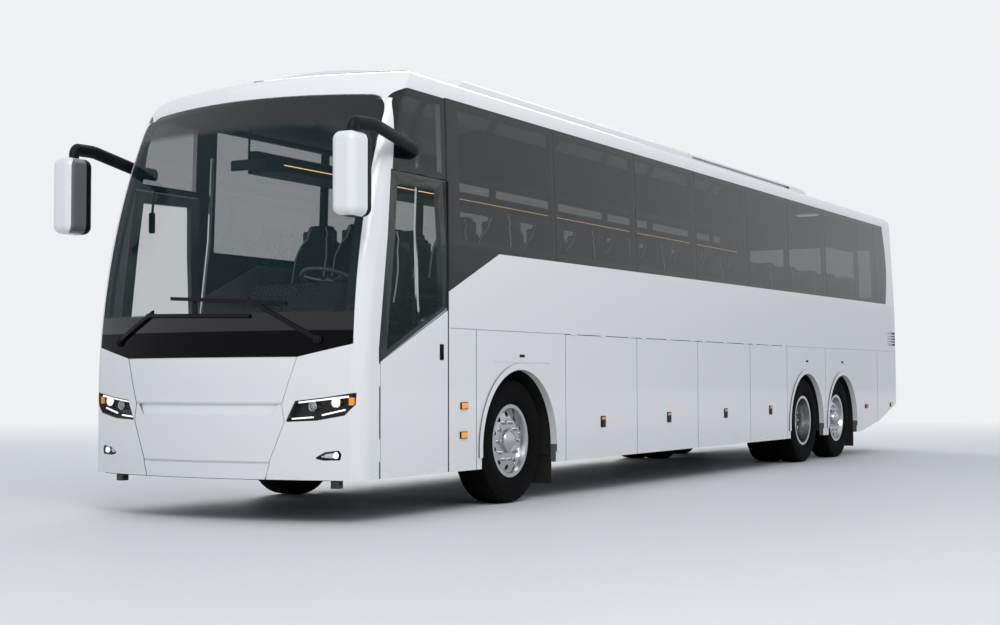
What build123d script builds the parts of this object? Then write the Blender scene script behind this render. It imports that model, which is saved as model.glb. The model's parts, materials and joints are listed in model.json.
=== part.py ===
from build123d import *
from math import hypot, sqrt
import os

# Three-axle coach bus, in millimetres. It faces -Y, +X is its own left side, +Z is up.
# The origin is on the ground, at half the width and half the length over the mirrors.

# Overall sizes
WIDTH = 2550
BODY_BOTTOM = 315
BELT_Z = 2075
GLASS_TOP_Z = 3225
GLASS_TOP_HALF = 1237
ROOF_CROWN_Z = 3545
BROW_HALF = 1080
BROW_Z = 3395
HALF = WIDTH / 2

# Places along the length, each measured back from the front axle
FRONT_OVERHANG = 2530
MIRROR_REACH = 110
WHEELBASE = 7440
TAG_SPACING = 1400
REAR_OVERHANG = 2750
LENGTH = MIRROR_REACH + FRONT_OVERHANG + WHEELBASE + TAG_SPACING + REAR_OVERHANG
FRONT_AXLE_Y = MIRROR_REACH + FRONT_OVERHANG - LENGTH / 2
DRIVE_AXLE_Y = FRONT_AXLE_Y + WHEELBASE
TAG_AXLE_Y = DRIVE_AXLE_Y + TAG_SPACING
NOSE_Y = FRONT_AXLE_Y - FRONT_OVERHANG
REAR_Y = TAG_AXLE_Y + REAR_OVERHANG

# Shape of the body in plan and along the length
NOSE_SPLIT_Y = FRONT_AXLE_Y - 1126
TAIL_SPLIT_Y = REAR_Y - 300
BROW_START_Z = 3135
BROW_REACH = 1000
BROW_TOP_Z = 3395
NOSE_RADIUS = 3600
NOSE_CORNER = 140
TAIL_RADIUS = 9000
TAIL_CORNER = 90
RAKE_START_Z = 900
RAKE_RADIUS = 5083
TAIL_RAKE = 130

# Walls, glass and gaps
WALL = 50
GLASS = 8
PANEL_GAP = 8
GLASS_GAP = 6
SEAT_GAP = 0.3
HINGE_RADIUS = 6
HINGE_GAP = HINGE_RADIUS + SEAT_GAP
LAMP_RECESS = 6

# Wheels
TYRE_RADIUS = 518
TYRE_WIDTH = 290
BEAD_RADIUS = 286
HUB_Z = TYRE_RADIUS
STEER_TRACK_HALF = 1068
KINGPIN_HALF = 950
KINGPIN_RADIUS = 28
TWIN_OUTER_HALF = 1085
TWIN_INNER_HALF = 755
TAG_TRACK_HALF = 1068
SPINDLE_RADIUS = 42
BEARING_CLEARANCE = 0.05

# Heights inside
SALOON_FLOOR_Z = 1400
DRIVER_FLOOR_Z = 1150
STEP_FLOOR_Z = 420
HOLD_FLOOR_Z = 420
FLOOR_THICK = 40

# Steps, platform and frame rails
STEP_EDGE = 930
PLATFORM_EDGE = 720
AISLE_SIDE = 300
DRIVER_X = 470
RAIL_HALF = 400
RAIL_WIDTH = 80

# Side panels: the seam under the side walls, and the upright seams behind the door
SEAM_Z = 1424
DOOR_FRONT = -2087
DOOR_REAR = -1130
DOOR_TOP_Z = 2570
DOOR_HEAD_FRONT = -1908
DOOR_LEAN_Z = 1260
MARKER_SEAM = -709
ARCH_SEAM = 848
FLAP_SEAMS = (848, 2352, 3880, 5429, 6674)
REAR_ARCH_SEAM = 8146
REAR_SIDE_SEAM = 10482
TAIL_SEAM = 11430
TAIL_SEAM_TOP = 11300
ARCH_RADIUS = 640
ARCH_CENTRE_Z = 470
TWIN_ARCH_RADIUS = 625
TAG_ARCH_RADIUS = 610

LOUVRE = (11024, 11400, 1512, 1707)
LOUVRE_SLATS = (1542, 1580, 1618, 1656)
LIP_WIDTH = 52
LIP_PROUD = 12
LINER = 12
FRONT_LINER_X = 500
REAR_LINER_X = 560
TAIL_LAMP = (1040, 1190, 1000, 1700)
REAR_WINDOW = (1000, 2180, 3050)
ENGINE_DOOR = (900, 1010, 1950)
BUMPER_TOP_Z = 980

# Seats
SEAT_ROWS = 13
FIRST_ROW = -400
SEAT_PITCH = 810
SEAT_WIDTH = 430
SEAT_PLACES = (-960, -520, 520, 960)
HAND_HOLES = 10
WHEEL_NUTS = 10

# Side windows: the middle of each joint between panes, and half the width of the post behind it
WINDOW_POSTS = ((-1030, 100), (685, 40), (2380, 40), (3890, 45), (5415, 55), (6810, 45),
                (8245, 50), (9665, 35), (10475, 35))
GLASS_END_TOP = 10910
GLASS_END_MIDDLE = 11100
GLASS_END_BELT = 10950
BELT_START_Z = 1711
BELT_BEND = -120
BELT_FRONT_Z = 2054
BELT_REAR_Z = 2105
WINDOW_SILL_Z = 2130
WINDOW_HEAD_Z = 3180


def rake(z):
    """How far the nose has leaned back at a height."""
    if z <= RAKE_START_Z:
        return 0
    return RAKE_RADIUS - sqrt(RAKE_RADIUS ** 2 - (z - RAKE_START_Z) ** 2)


def tail(z):
    """How far the tail has leaned forward at a height."""
    if z <= RAKE_START_Z:
        return 0
    return TAIL_RAKE * ((z - RAKE_START_Z) / (GLASS_TOP_Z - RAKE_START_Z)) ** 1.5


def half_width(z):
    """Half the body's width at a height: upright to the belt, then leaning in."""
    if z <= BELT_Z:
        return HALF
    return HALF - (HALF - GLASS_TOP_HALF) * (z - BELT_Z) / (GLASS_TOP_Z - BELT_Z)


def corner_points(radius, corner, half):
    """A bulged end's corner arc: its centre, its middle and its start on the bulge."""
    centre_x = half - corner
    reach = radius - corner
    drop = sqrt(reach ** 2 - centre_x ** 2)
    start_x = centre_x * radius / reach
    start_drop = drop * radius / reach
    away_x = (start_x - centre_x) / corner + 1
    away_y = (start_drop - drop) / corner
    size = hypot(away_x, away_y)
    middle_x = centre_x + corner * away_x / size
    middle_drop = drop + corner * away_y / size
    return centre_x, drop, middle_x, middle_drop, start_x, start_drop


def end_wire(z, inset, nose):
    """The outline of the nose or the tail at a height, set in from the skin."""
    half = half_width(z) - inset
    radius = (NOSE_RADIUS if nose else TAIL_RADIUS) - inset
    corner = (NOSE_CORNER if nose else TAIL_CORNER) - inset * 0.8
    tip = NOSE_Y + rake(z) + inset if nose else REAR_Y - tail(z) - inset
    split = NOSE_SPLIT_Y if nose else TAIL_SPLIT_Y
    inward = 1 if nose else -1
    if inset:
        split += inward * WALL
    cx, cdrop, mx, mdrop, sx, sdrop = corner_points(radius, corner, half)
    hub = tip + inward * radius
    centre = hub - inward * cdrop
    middle = hub - inward * mdrop
    start = hub - inward * sdrop
    edges = [ThreePointArc((-sx, start), (0, tip), (sx, start)),
             ThreePointArc((sx, start), (mx, middle), (half, centre)),
             Line((half, centre), (half, split)),
             Line((half, split), (-half, split)),
             Line((-half, split), (-half, centre)),
             ThreePointArc((-half, centre), (-mx, middle), (-sx, start))]
    return Pos(0, 0, z) * Wire(edges)


def end_form(inset, nose):
    """The nose or the tail as a solid: upright below, and lofted through a few outlines above."""
    low = BODY_BOTTOM if inset == 0 else BODY_BOTTOM - 100
    base = extrude(make_face(end_wire(low, inset, nose)), RAKE_START_Z - low, dir=(0, 0, 1))
    flanks = (RAKE_START_Z, (RAKE_START_Z + BELT_Z) / 2, BELT_Z)
    crest = (BELT_Z, (BELT_Z + GLASS_TOP_Z) / 2, GLASS_TOP_Z, ROOF_CROWN_Z + 200)
    for heights in (flanks, crest):
        base += Solid.make_loft([end_wire(z, inset, nose) for z in heights])
    return base


def roof_curves(inset):
    """The roof's cross-section: shoulders that leave the sides tangent, and a shallow crown."""
    top_half = GLASS_TOP_HALF - inset
    brow_x = BROW_HALF - 0.35 * inset
    brow_z = BROW_Z - 0.94 * inset
    lean = (GLASS_TOP_HALF - HALF, GLASS_TOP_Z - BELT_Z)
    left = TangentArc((top_half, GLASS_TOP_Z), (brow_x, brow_z), tangent=lean)
    right = TangentArc((-top_half, GLASS_TOP_Z), (-brow_x, brow_z), tangent=(-lean[0], lean[1]))
    crown = ThreePointArc((brow_x, brow_z), (0, ROOF_CROWN_Z - inset), (-brow_x, brow_z))
    return top_half, [left, crown, right]


def run(face, front, back):
    """A front-view face drawn out along the bus."""
    plane = Plane(origin=(0, back, 0), x_dir=(1, 0, 0), z_dir=(0, -1, 0))
    return extrude(plane * face, back - front)


def roof_tunnel(inset, front, back):
    top_half, curves = roof_curves(inset)
    flank = Polyline((-top_half, GLASS_TOP_Z), (-HALF - 100, GLASS_TOP_Z - 60), (-HALF - 100, 0),
                     (HALF + 100, 0), (HALF + 100, GLASS_TOP_Z - 60), (top_half, GLASS_TOP_Z))
    return run(make_face(Curve() + [*curves, flank]), front, back)


def nose_form(inset):
    """The nose, with the brow over the windscreen turned about the nose's own centre."""
    hub_y = NOSE_Y + NOSE_RADIUS
    start = (NOSE_Y + rake(BROW_START_Z) + inset - 1, BROW_START_Z)
    climb = BROW_START_Z - RAKE_START_Z
    slope = climb / sqrt(RAKE_RADIUS ** 2 - climb ** 2)
    brow = TangentArc(start, (NOSE_Y + BROW_REACH, BROW_TOP_Z - inset), tangent=(slope, 1))
    rest = Polyline(brow @ 1, (NOSE_Y + 2100, 3640), (hub_y, 3640), (hub_y, 0),
                    (NOSE_Y - 100, 0), (NOSE_Y - 100, BROW_START_Z - 300), start)
    dome = revolve(Plane.YZ * make_face(Curve() + [brow, rest]), Axis((0, hub_y, 0), (0, 0, 1)), 360)
    return end_form(inset, True) & roof_tunnel(inset, NOSE_Y - 100, NOSE_SPLIT_Y + 100) & dome


def middle_form(inset):
    """The long middle: one cross-section, upright to the belt and leaning in above it."""
    top_half, curves = roof_curves(inset)
    low = BODY_BOTTOM if inset == 0 else BODY_BOTTOM - 100
    flank = Polyline((-top_half, GLASS_TOP_Z), (inset - HALF, BELT_Z), (inset - HALF, low),
                     (HALF - inset, low), (HALF - inset, BELT_Z), (top_half, GLASS_TOP_Z))
    over = WALL if inset else 0
    return run(make_face(Curve() + [*curves, flank]), NOSE_SPLIT_Y - over, TAIL_SPLIT_Y + over)


def tail_form(inset):
    """The tail, whose roof edge comes down in one arc."""
    back = REAR_Y - tail(GLASS_TOP_Z) - inset
    top = ThreePointArc((back + 2, GLASS_TOP_Z - 60), (back - 70, 3400 - inset), (back - 330, 3500 - inset))
    rest = Polyline(top @ 1, (back - 1500, 3640), (back - 1500, 0), (REAR_Y + 200, 0),
                    (REAR_Y + 200, GLASS_TOP_Z - 60), (back + 2, GLASS_TOP_Z - 60))
    cut = extrude(Plane.YZ * make_face(Curve() + [top, rest]), HALF + 100, both=True)
    return end_form(inset, False) & roof_tunnel(inset, TAIL_SPLIT_Y - 100, REAR_Y + 100) & cut


def save(name, shape):
    export_step(shape, f"parts/{name}.step")


def both_sides(shape):
    """The left piece and its mirror image on the right."""
    return Compound([*shape.solids(), *mirror(shape, about=Plane.YZ).solids()])


def mirrored(shape):
    return mirror(shape, about=Plane.YZ)


def at(points):
    """Side-view points measured from the front axle, as points of the body's frame."""
    return [(y + FRONT_AXLE_Y, z) for y, z in points]


def side_block(points, inner=900, outer=1400):
    """A block over the left side, with its outline in side view from the front axle."""
    face = make_face(Polyline(*at(points), close=True))
    return Pos(inner, 0, 0) * extrude(Plane.YZ * face, outer - inner)


def nose_block(face):
    """A face in front view drawn through the nose."""
    back = NOSE_Y + 900
    plane = Plane(origin=(0, back, 0), x_dir=(1, 0, 0), z_dir=(0, -1, 0))
    return extrude(plane * face, back - NOSE_Y + 200)


def front_block(points, grow=0, rounding=0):
    """A block through the nose, with its outline in front view, grown or shrunk all round."""
    face = make_face(Polyline(*points, close=True))
    if rounding:
        face = fillet(face.vertices(), rounding)
    if grow:
        face = offset(face, amount=grow, kind=Kind.INTERSECTION)
    return nose_block(face)


def span_box(x0, x1, y0, y1, z0, z1):
    return Pos((x0 + x1) / 2, (y0 + y1) / 2, (z0 + z1) / 2) * Box(x1 - x0, y1 - y0, z1 - z0)


os.makedirs("parts", exist_ok=True)
nose_forms = [nose_form(inset) for inset in (0, GLASS, WALL)]
middle_forms = [middle_form(inset) for inset in (0, GLASS, WALL)]
tail_forms = [tail_form(inset) for inset in (0, GLASS, WALL)]
nose_wall = nose_forms[0] - nose_forms[2]
nose_glass = nose_forms[0] - nose_forms[1]
nose_frame = nose_forms[1] - nose_forms[2]
side_wall_skin = middle_forms[0] - middle_forms[2]
side_glass_skin = middle_forms[0] - middle_forms[1]
side_frame_skin = middle_forms[1] - middle_forms[2]
tail_wall = tail_forms[0] - tail_forms[2]
tail_glass = tail_forms[0] - tail_forms[1]
tail_frame = tail_forms[1] - tail_forms[2]


# Regions of the nose in front view, as half outlines from the middle outwards
WINDSCREEN_FOOT_Z = 1385
COWL_TOP_Z = 1377
MASK_Z = 1200
MASK_CORNER_Z = 1285
MASK_KINK = 802
SCREEN_HALF_LOW = 1194
SCREEN_HALF_HIGH = 1162
SCREEN_TOP_Z = 3150
SCREEN_CROWN_Z = 3180
SCREEN_ROUND = 150
SCREEN_FRAME = 60
BROW_SEAM_HALF = 1069
PANEL_SEAM_Z = 858
PANEL_SEAM_HALF = 690
LAMP_TIP_HALF = 716
LAMP_TIP_Z = 728
BAR_SEAM_Z = 433
BAR_HALF = 594


def whole(half_points):
    """A closed outline from its right half, listed from the lowest to the highest."""
    return [*half_points, *[(-x, z) for x, z in reversed(half_points)]]


def screen_block(grow, foot_half, foot_z, *lower):
    """The windscreen's outline, grown all round, from a foot that may go on down to lower points."""
    top = (SCREEN_HALF_HIGH + grow, SCREEN_TOP_Z + grow)
    sides = [top, (foot_half, foot_z), *lower]
    line = Polyline(*sides, *[(-x, z) for x, z in reversed(sides)])
    crown = ThreePointArc((-top[0], top[1]), (0, SCREEN_CROWN_Z + grow), top)
    face = make_face(Curve() + [line, crown])
    return nose_block(fillet(face.vertices().sort_by(Axis.Y)[-2:], SCREEN_ROUND + grow))


cowl_outline = whole([(MASK_KINK, MASK_Z), (SCREEN_HALF_LOW, MASK_CORNER_Z),
                      (SCREEN_HALF_LOW, COWL_TOP_Z)])
upper_panel_outline = whole([(PANEL_SEAM_HALF, PANEL_SEAM_Z + PANEL_GAP / 2),
                             (MASK_KINK - PANEL_GAP / 2, MASK_Z - GLASS_GAP)])
grille_outline = whole([(BAR_HALF - 4, BAR_SEAM_Z + PANEL_GAP / 2), (LAMP_TIP_HALF - 8, LAMP_TIP_Z),
                        (PANEL_SEAM_HALF - 4, PANEL_SEAM_Z - PANEL_GAP / 2)])
bar_outline = whole([(BAR_HALF - 40, BODY_BOTTOM - 20), (BAR_HALF, BAR_SEAM_Z - PANEL_GAP / 2)])
centre_opening = whole([(BAR_HALF + 4 - 40, BODY_BOTTOM - 30), (BAR_HALF + 4, BAR_SEAM_Z),
                        (LAMP_TIP_HALF, LAMP_TIP_Z), (PANEL_SEAM_HALF + 4, PANEL_SEAM_Z),
                        (MASK_KINK + PANEL_GAP / 2, MASK_Z)])
# The lamp unit's outline on the left, from its inner tip round to the outer end
LAMP_ROUND = 8
LAMP_COVER = 4
LAMP_DEPTH = 90
LAMP_WALL = 8
DISH_LOW_Z = 768
DISH_LOW_HALF = 600
DISH_LEDGE = 3
DISH_DEPTH = 28
# Each round lamp on the left: across, height, radius and the place of its rim from the front axle
PROJECTORS = ((906, 838, 36, -2325), (1072, 868, 40, -2285))
FOG_LAMP = (1082, 492, 27, -2312)
lamp_outline = [(716, 728), (789, 879), (1000, 903), (1228, 938), (1222, 850), (1150, 775), (950, 738)]
fog_outline = [(930, 470), (1000, 455), (1120, 458), (1130, 500), (1110, 528), (1010, 515)]


def front_groove(points):
    """The sunk line round a front panel."""
    wide = front_block(points, PANEL_GAP / 2)
    narrow = front_block(points, -PANEL_GAP / 2)
    return (wide - narrow) & nose_glass


def side_groove(y, low, high):
    """An upright sunk line between two fixed panels of the left side."""
    return side_block([(y - PANEL_GAP / 2, low), (y + PANEL_GAP / 2, low), (y + PANEL_GAP / 2, high),
                       (y - PANEL_GAP / 2, high)]) & side_glass_skin


# Nose: windscreen, the black cowl under it, and the white panels with their lamps
front_edge = [(-3200, 200), (DOOR_FRONT - HINGE_GAP, 200), (DOOR_FRONT - HINGE_GAP, DOOR_LEAN_Z),
              (DOOR_HEAD_FRONT - HINGE_GAP, DOOR_TOP_Z), (-1826, 3100), (-1780, GLASS_TOP_Z),
              (-3200, GLASS_TOP_Z)]
nose_side = side_block(front_edge, inner=-10)
nose_zone = nose_side + mirrored(nose_side)
nose_skin = nose_wall & nose_zone
screen_glass = nose_forms[0] - nose_form(GLASS - SEAT_GAP)
windscreen = screen_glass & screen_block(0, SCREEN_HALF_LOW, WINDSCREEN_FOOT_Z)
cowl = nose_glass & front_block(cowl_outline)
screen_hole = screen_block(GLASS_GAP, SCREEN_HALF_LOW + GLASS_GAP, MASK_CORNER_Z,
                           (MASK_KINK, MASK_Z - GLASS_GAP))
screen_frame = nose_frame & nose_zone & screen_hole
screen_frame -= screen_block(-SCREEN_FRAME, SCREEN_HALF_LOW - SCREEN_FRAME, COWL_TOP_Z + SCREEN_FRAME)
front_panel = nose_wall & front_block(upper_panel_outline)
front_grille = nose_wall & front_block(grille_outline)
front_bumper = nose_wall & front_block(bar_outline)
grooves = front_groove(upper_panel_outline) + front_groove(grille_outline) + front_groove(bar_outline)
lamp_hole = front_block(lamp_outline, rounding=LAMP_ROUND)
fog_hole = front_block(fog_outline, rounding=LAMP_ROUND)
holes = lamp_hole + mirrored(lamp_hole) + fog_hole + mirrored(fog_hole)
brow_block = front_block(whole([(BROW_SEAM_HALF, SCREEN_TOP_Z - 200), (BROW_SEAM_HALF, GLASS_TOP_Z + 50)]))
corners = nose_skin - screen_hole - brow_block - front_panel - front_grille - front_bumper - holes - grooves
save("front_corners", corners)
save("windscreen", windscreen)
save("wiper_cowl", cowl)
save("front_panel", front_panel - grooves)

# The band between the lamps leans back from a ledge, as a shallow dish
dish_height = PANEL_SEAM_Z + 20 - DISH_LOW_Z
dish_block = front_block(whole([(DISH_LOW_HALF, DISH_LOW_Z), (PANEL_SEAM_HALF - 16, DISH_LOW_Z + dish_height)]))
dish_back = Pos(0, NOSE_Y + NOSE_RADIUS, DISH_LOW_Z + dish_height / 2) * Cone(
    NOSE_RADIUS - DISH_LEDGE, NOSE_RADIUS - DISH_DEPTH, dish_height)
front_grille -= dish_block - dish_back
save("front_bumper", (front_grille + front_bumper) - grooves)

# Lamps: a clear cover flush with the skin, and behind it a housing with its barrels
lamp_nose = nose_form(LAMP_COVER + SEAT_GAP)
lamp_back = nose_form(LAMP_DEPTH)
cover_layer = (nose_forms[0] - nose_form(LAMP_COVER)) & nose_zone
save("headlamp_covers", both_sides(cover_layer & (lamp_hole + fog_hole)))
housing = (lamp_nose - lamp_back) & nose_zone & lamp_hole
housing -= (lamp_nose - nose_form(LAMP_DEPTH - LAMP_WALL)) & front_block(lamp_outline, -LAMP_WALL)
fog_housing = (lamp_nose - nose_forms[2]) & nose_zone & fog_hole
fog_housing -= (lamp_nose - nose_form(WALL - LAMP_WALL)) & front_block(fog_outline, -LAMP_WALL)


def barrel_lamp(x, z, radius, front, depth):
    """A round lamp: a barrel that faces forward, with its bowl."""
    tube = Pos(x, front + depth / 2, z) * Rot(90, 0, 0) * Cylinder(radius, depth)
    bowl = Pos(x, front, z) * Sphere(radius * 0.8)
    return tube - bowl


for x, z, radius, place in PROJECTORS:
    housing += barrel_lamp(x, z, radius, FRONT_AXLE_Y + place, LAMP_DEPTH - 35) - lamp_back
fog_x, fog_z, fog_radius, fog_place = FOG_LAMP
fog_housing += barrel_lamp(fog_x, fog_z, fog_radius, FRONT_AXLE_Y + fog_place, 30)
save("headlamps", both_sides(Compound([*housing.solids(), *fog_housing.solids()])))

# Side walls, window posts and glass, from the door's rear edge to the tail
WALL_FRONT = DOOR_REAR + HINGE_GAP
glass_face = make_face(Polyline(*at([(WALL_FRONT, BELT_START_Z), (BELT_BEND - 210, BELT_FRONT_Z),
                                     (GLASS_END_BELT, BELT_REAR_Z), (GLASS_END_MIDDLE, 2650),
                                     (GLASS_END_TOP, GLASS_TOP_Z), (WALL_FRONT, GLASS_TOP_Z)]), close=True))
belt_corner = glass_face.vertices().sort_by_distance((BELT_BEND - 210 + FRONT_AXLE_Y, BELT_FRONT_Z, 0))[0]
bulge = glass_face.vertices().sort_by_distance((GLASS_END_MIDDLE + FRONT_AXLE_Y, 2650, 0))[0]
glass_face = fillet(belt_corner, 1500)
glass_face = fillet(bulge, 1200)
glass_zone = Pos(900, 0, 0) * extrude(Plane.YZ * glass_face, 500)
side_zone = side_block([(WALL_FRONT, SEAM_Z + HINGE_GAP), (TAIL_SEAM, SEAM_Z + HINGE_GAP),
                        (TAIL_SEAM_TOP, GLASS_TOP_Z), (WALL_FRONT, GLASS_TOP_Z)])
upper_side = (side_wall_skin & side_zone) + (tail_wall & side_zone)
side_wall = upper_side - glass_zone
louvre_hole = side_block([(LOUVRE[0], LOUVRE[2]), (LOUVRE[1], LOUVRE[2]), (LOUVRE[1], LOUVRE[3]),
                          (LOUVRE[0], LOUVRE[3])], inner=HALF - 30)
slats = [side_block([(LOUVRE[0], z), (LOUVRE[1], z), (LOUVRE[1], z + 18), (LOUVRE[0], z + 18)],
                    inner=HALF - 30, outer=HALF - 3) for z in LOUVRE_SLATS]
side_wall = (side_wall - louvre_hole) + slats
save("side_walls", both_sides(side_wall))
posts = side_frame_skin & glass_zone
panes = side_glass_skin & glass_zone
ends = [WALL_FRONT, *[y for y, _ in WINDOW_POSTS[1:]], GLASS_END_MIDDLE + 40]
for (y0, half0), (y1, half1) in zip(WINDOW_POSTS, [*WINDOW_POSTS[1:], (GLASS_END_TOP, 40)]):
    posts -= side_block([(y0 + half0, WINDOW_SILL_Z), (y1 - half1, WINDOW_SILL_Z),
                         (y1 - half1, WINDOW_HEAD_Z), (y0 + half0, WINDOW_HEAD_Z)])
for y in ends[1:-1]:
    panes -= side_block([(y - GLASS_GAP / 2, 1600), (y + GLASS_GAP / 2, 1600), (y + GLASS_GAP / 2, 3300),
                         (y - GLASS_GAP / 2, 3300)])
# The fixed pane over each front door
QUARTER_FRONT_LOW = -1893
QUARTER_FRONT_HIGH = -1800
QUARTER_TOP_Z = 3217
QUARTER_ROUND = 190
QUARTER_RIM = 50
over_zone = side_block([(DOOR_FRONT, DOOR_TOP_Z + PANEL_GAP), (WALL_FRONT, DOOR_TOP_Z + PANEL_GAP),
                        (WALL_FRONT, GLASS_TOP_Z), (DOOR_FRONT, GLASS_TOP_Z)])
over_door = (nose_wall & over_zone) - nose_side


def quarter_block(rim):
    """The pane's outline in side view, set in by a rim, with its front top corner rounded."""
    low = DOOR_TOP_Z + PANEL_GAP + rim
    corner = (QUARTER_FRONT_HIGH + rim, QUARTER_TOP_Z - rim)
    back = DOOR_REAR - 10 - rim
    face = make_face(Polyline(*at([(QUARTER_FRONT_LOW + rim, low), corner, (back, corner[1]), (back, low)]),
                              close=True))
    turn = face.vertices().sort_by_distance((*at([corner])[0], 0))[0]
    return Pos(900, 0, 0) * extrude(Plane.YZ * fillet(turn, QUARTER_ROUND - rim), 500)


over_pane = nose_glass & quarter_block(0)
over_door = over_door - over_pane - quarter_block(QUARTER_RIM) - (nose_glass & screen_hole)
save("window_frames", Compound([*screen_frame.solids(),
                                *both_sides(Compound([*posts.solids(), *over_door.solids()])).solids()]))

# Roof: one shell from the windscreen to the tail
roof_zone = span_box(-HALF, HALF, NOSE_Y - 50, REAR_Y + 50, GLASS_TOP_Z, ROOF_CROWN_Z + 300)
brow_zone = span_box(-HALF, HALF, NOSE_Y - 50, NOSE_Y + 1500, SCREEN_TOP_Z - 250, GLASS_TOP_Z)
brow = (nose_skin & brow_zone & brow_block) - screen_hole
roof = (nose_wall & roof_zone) + (side_wall_skin & roof_zone) + (tail_wall & roof_zone) + brow

# The roof pod over the air units: a long low hood with sloped ends and an air slot along each flank
POD_FRONT = -600
POD_BACK = 8300
POD_SEAM = 4330
POD_SLOT = (4420, 7600)
POD_HALF = 1000
POD_EDGE_Z = 3490
POD_TOP_Z = 3630
POD_ROUND = 45
POD_SLOPE = 420
POD_SLOT_Z = (3438, 3466)
POD_SLOT_DEPTH = 30
pod_crown = ThreePointArc((POD_HALF, POD_EDGE_Z), (0, POD_TOP_Z), (-POD_HALF, POD_EDGE_Z))
pod_foot = Polyline((-POD_HALF, POD_EDGE_Z), (-POD_HALF - 15, BROW_Z), (POD_HALF + 15, BROW_Z),
                    (POD_HALF, POD_EDGE_Z))
pod_face = make_face(Curve() + [pod_crown, pod_foot])
pod_face = fillet(pod_face.vertices().sort_by(Axis.Y)[-2:], POD_ROUND)
pod = run(pod_face, FRONT_AXLE_Y + POD_FRONT, FRONT_AXLE_Y + POD_BACK)
for end, inward in ((POD_FRONT, 1), (POD_BACK, -1)):
    ramp = make_face(Polyline(*at([(end - inward * 10, BROW_Z), (end - inward * 10, POD_TOP_Z + 10),
                                   (end + inward * POD_SLOPE, POD_TOP_Z + 10)]), close=True))
    pod -= extrude(Plane.YZ * ramp, HALF, both=True)
pod -= middle_forms[2]
seam_y = FRONT_AXLE_Y + POD_SEAM
seam_slit = span_box(-HALF, HALF, seam_y - PANEL_GAP / 2, seam_y + PANEL_GAP / 2, BROW_Z, POD_TOP_Z + 10)
pod -= seam_slit - middle_forms[0]
for side in (-1, 1):
    x0, x1 = sorted((side * (POD_HALF - POD_SLOT_DEPTH), side * HALF))
    pod -= span_box(x0, x1, FRONT_AXLE_Y + POD_SLOT[0], FRONT_AXLE_Y + POD_SLOT[1], *POD_SLOT_Z)
save("roof_shell", roof + pod)

# Skirts: the fixed panels below the side walls, with the wheel arches
SKIRT_TOP = SEAM_Z + HINGE_GAP


def arch_cut(y, radius, depth=400):
    """The opening over a wheel, round above and straight below."""
    low = span_box(HALF - depth, HALF + 20, y - radius, y + radius, 0, ARCH_CENTRE_Z)
    return low + Pos(HALF - depth, y, ARCH_CENTRE_Z) * Rot(0, 90, 0) * Cylinder(
        radius, depth + 20, align=(Align.CENTER, Align.CENTER, Align.MIN))


def arch_lip(y, radius):
    """The raised edge round an arch."""
    ring = Pos(HALF, y, ARCH_CENTRE_Z) * Rot(0, 90, 0) * (
        Cylinder(radius + LIP_WIDTH, LIP_PROUD, align=(Align.CENTER, Align.CENTER, Align.MIN))
        - Cylinder(radius, LIP_PROUD, align=(Align.CENTER, Align.CENTER, Align.MIN)))
    legs = span_box(HALF, HALF + LIP_PROUD, y - radius - LIP_WIDTH, y + radius + LIP_WIDTH,
                    BODY_BOTTOM + 90, ARCH_CENTRE_Z) - span_box(
                        HALF, HALF + LIP_PROUD, y - radius, y + radius, 0, ARCH_CENTRE_Z + 1)
    return (ring - span_box(HALF - 1, HALF + 20, y - 2000, y + 2000, -1000, ARCH_CENTRE_Z)) + legs


def skirt(front, back):
    zone = side_block([(front, 200), (back, 200), (back, SKIRT_TOP), (front, SKIRT_TOP)])
    return (side_wall_skin & zone) + (tail_wall & zone)


arches = {"front": (FRONT_AXLE_Y + 15, ARCH_RADIUS), "drive": (DRIVE_AXLE_Y - 30, TWIN_ARCH_RADIUS),
          "tag": (TAG_AXLE_Y + 20, TAG_ARCH_RADIUS)}
front_skirt = skirt(WALL_FRONT, ARCH_SEAM - PANEL_GAP / 2) + arch_lip(*arches["front"])
front_skirt -= arch_cut(*arches["front"])
front_skirt -= side_groove(MARKER_SEAM, 200, SKIRT_TOP)
rear_skirt = skirt(FLAP_SEAMS[-1] + PANEL_GAP / 2, TAIL_SEAM)
rear_skirt = rear_skirt + arch_lip(*arches["drive"]) + arch_lip(*arches["tag"])
rear_skirt = rear_skirt - arch_cut(*arches["drive"]) - arch_cut(*arches["tag"])
rear_skirt = rear_skirt - side_groove(REAR_ARCH_SEAM, 200, SKIRT_TOP) - side_groove(REAR_SIDE_SEAM, 200, SKIRT_TOP)
seam_line = side_block([(WALL_FRONT, SEAM_Z), (TAIL_SEAM, SEAM_Z), (TAIL_SEAM, SKIRT_TOP + 1),
                        (WALL_FRONT, SKIRT_TOP + 1)], inner=HALF - GLASS)
departure = side_block([(9650, 200), (9650, BODY_BOTTOM), (10587, 450), (11700, 750), (11900, 750),
                        (11900, 200)], inner=-1400)
front_skirt -= seam_line
rear_skirt = rear_skirt - seam_line - departure
save("skirt_panels", both_sides(Compound([*front_skirt.solids(), *rear_skirt.solids()])))


def barrel(length):
    return Cylinder(HINGE_RADIUS, length)


# Luggage flaps, hung from three short barrels on the outer corner of their top edge
for number, (y0, y1) in enumerate(zip(FLAP_SEAMS, FLAP_SEAMS[1:]), start=1):
    flap = side_wall_skin & side_block([(y0 + PANEL_GAP / 2, 200), (y1 - PANEL_GAP / 2, 200),
                                        (y1 - PANEL_GAP / 2, SEAM_Z), (y0 + PANEL_GAP / 2, SEAM_Z)])
    for share in (0.1, 0.5, 0.9):
        place = FRONT_AXLE_Y + y0 + share * (y1 - y0)
        flap += Pos(HALF, place, SEAM_Z) * Rot(90, 0, 0) * barrel(120)
    save(f"luggage_flap_left_{number}", flap)
    save(f"luggage_flap_right_{number}", mirrored(flap))

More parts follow.
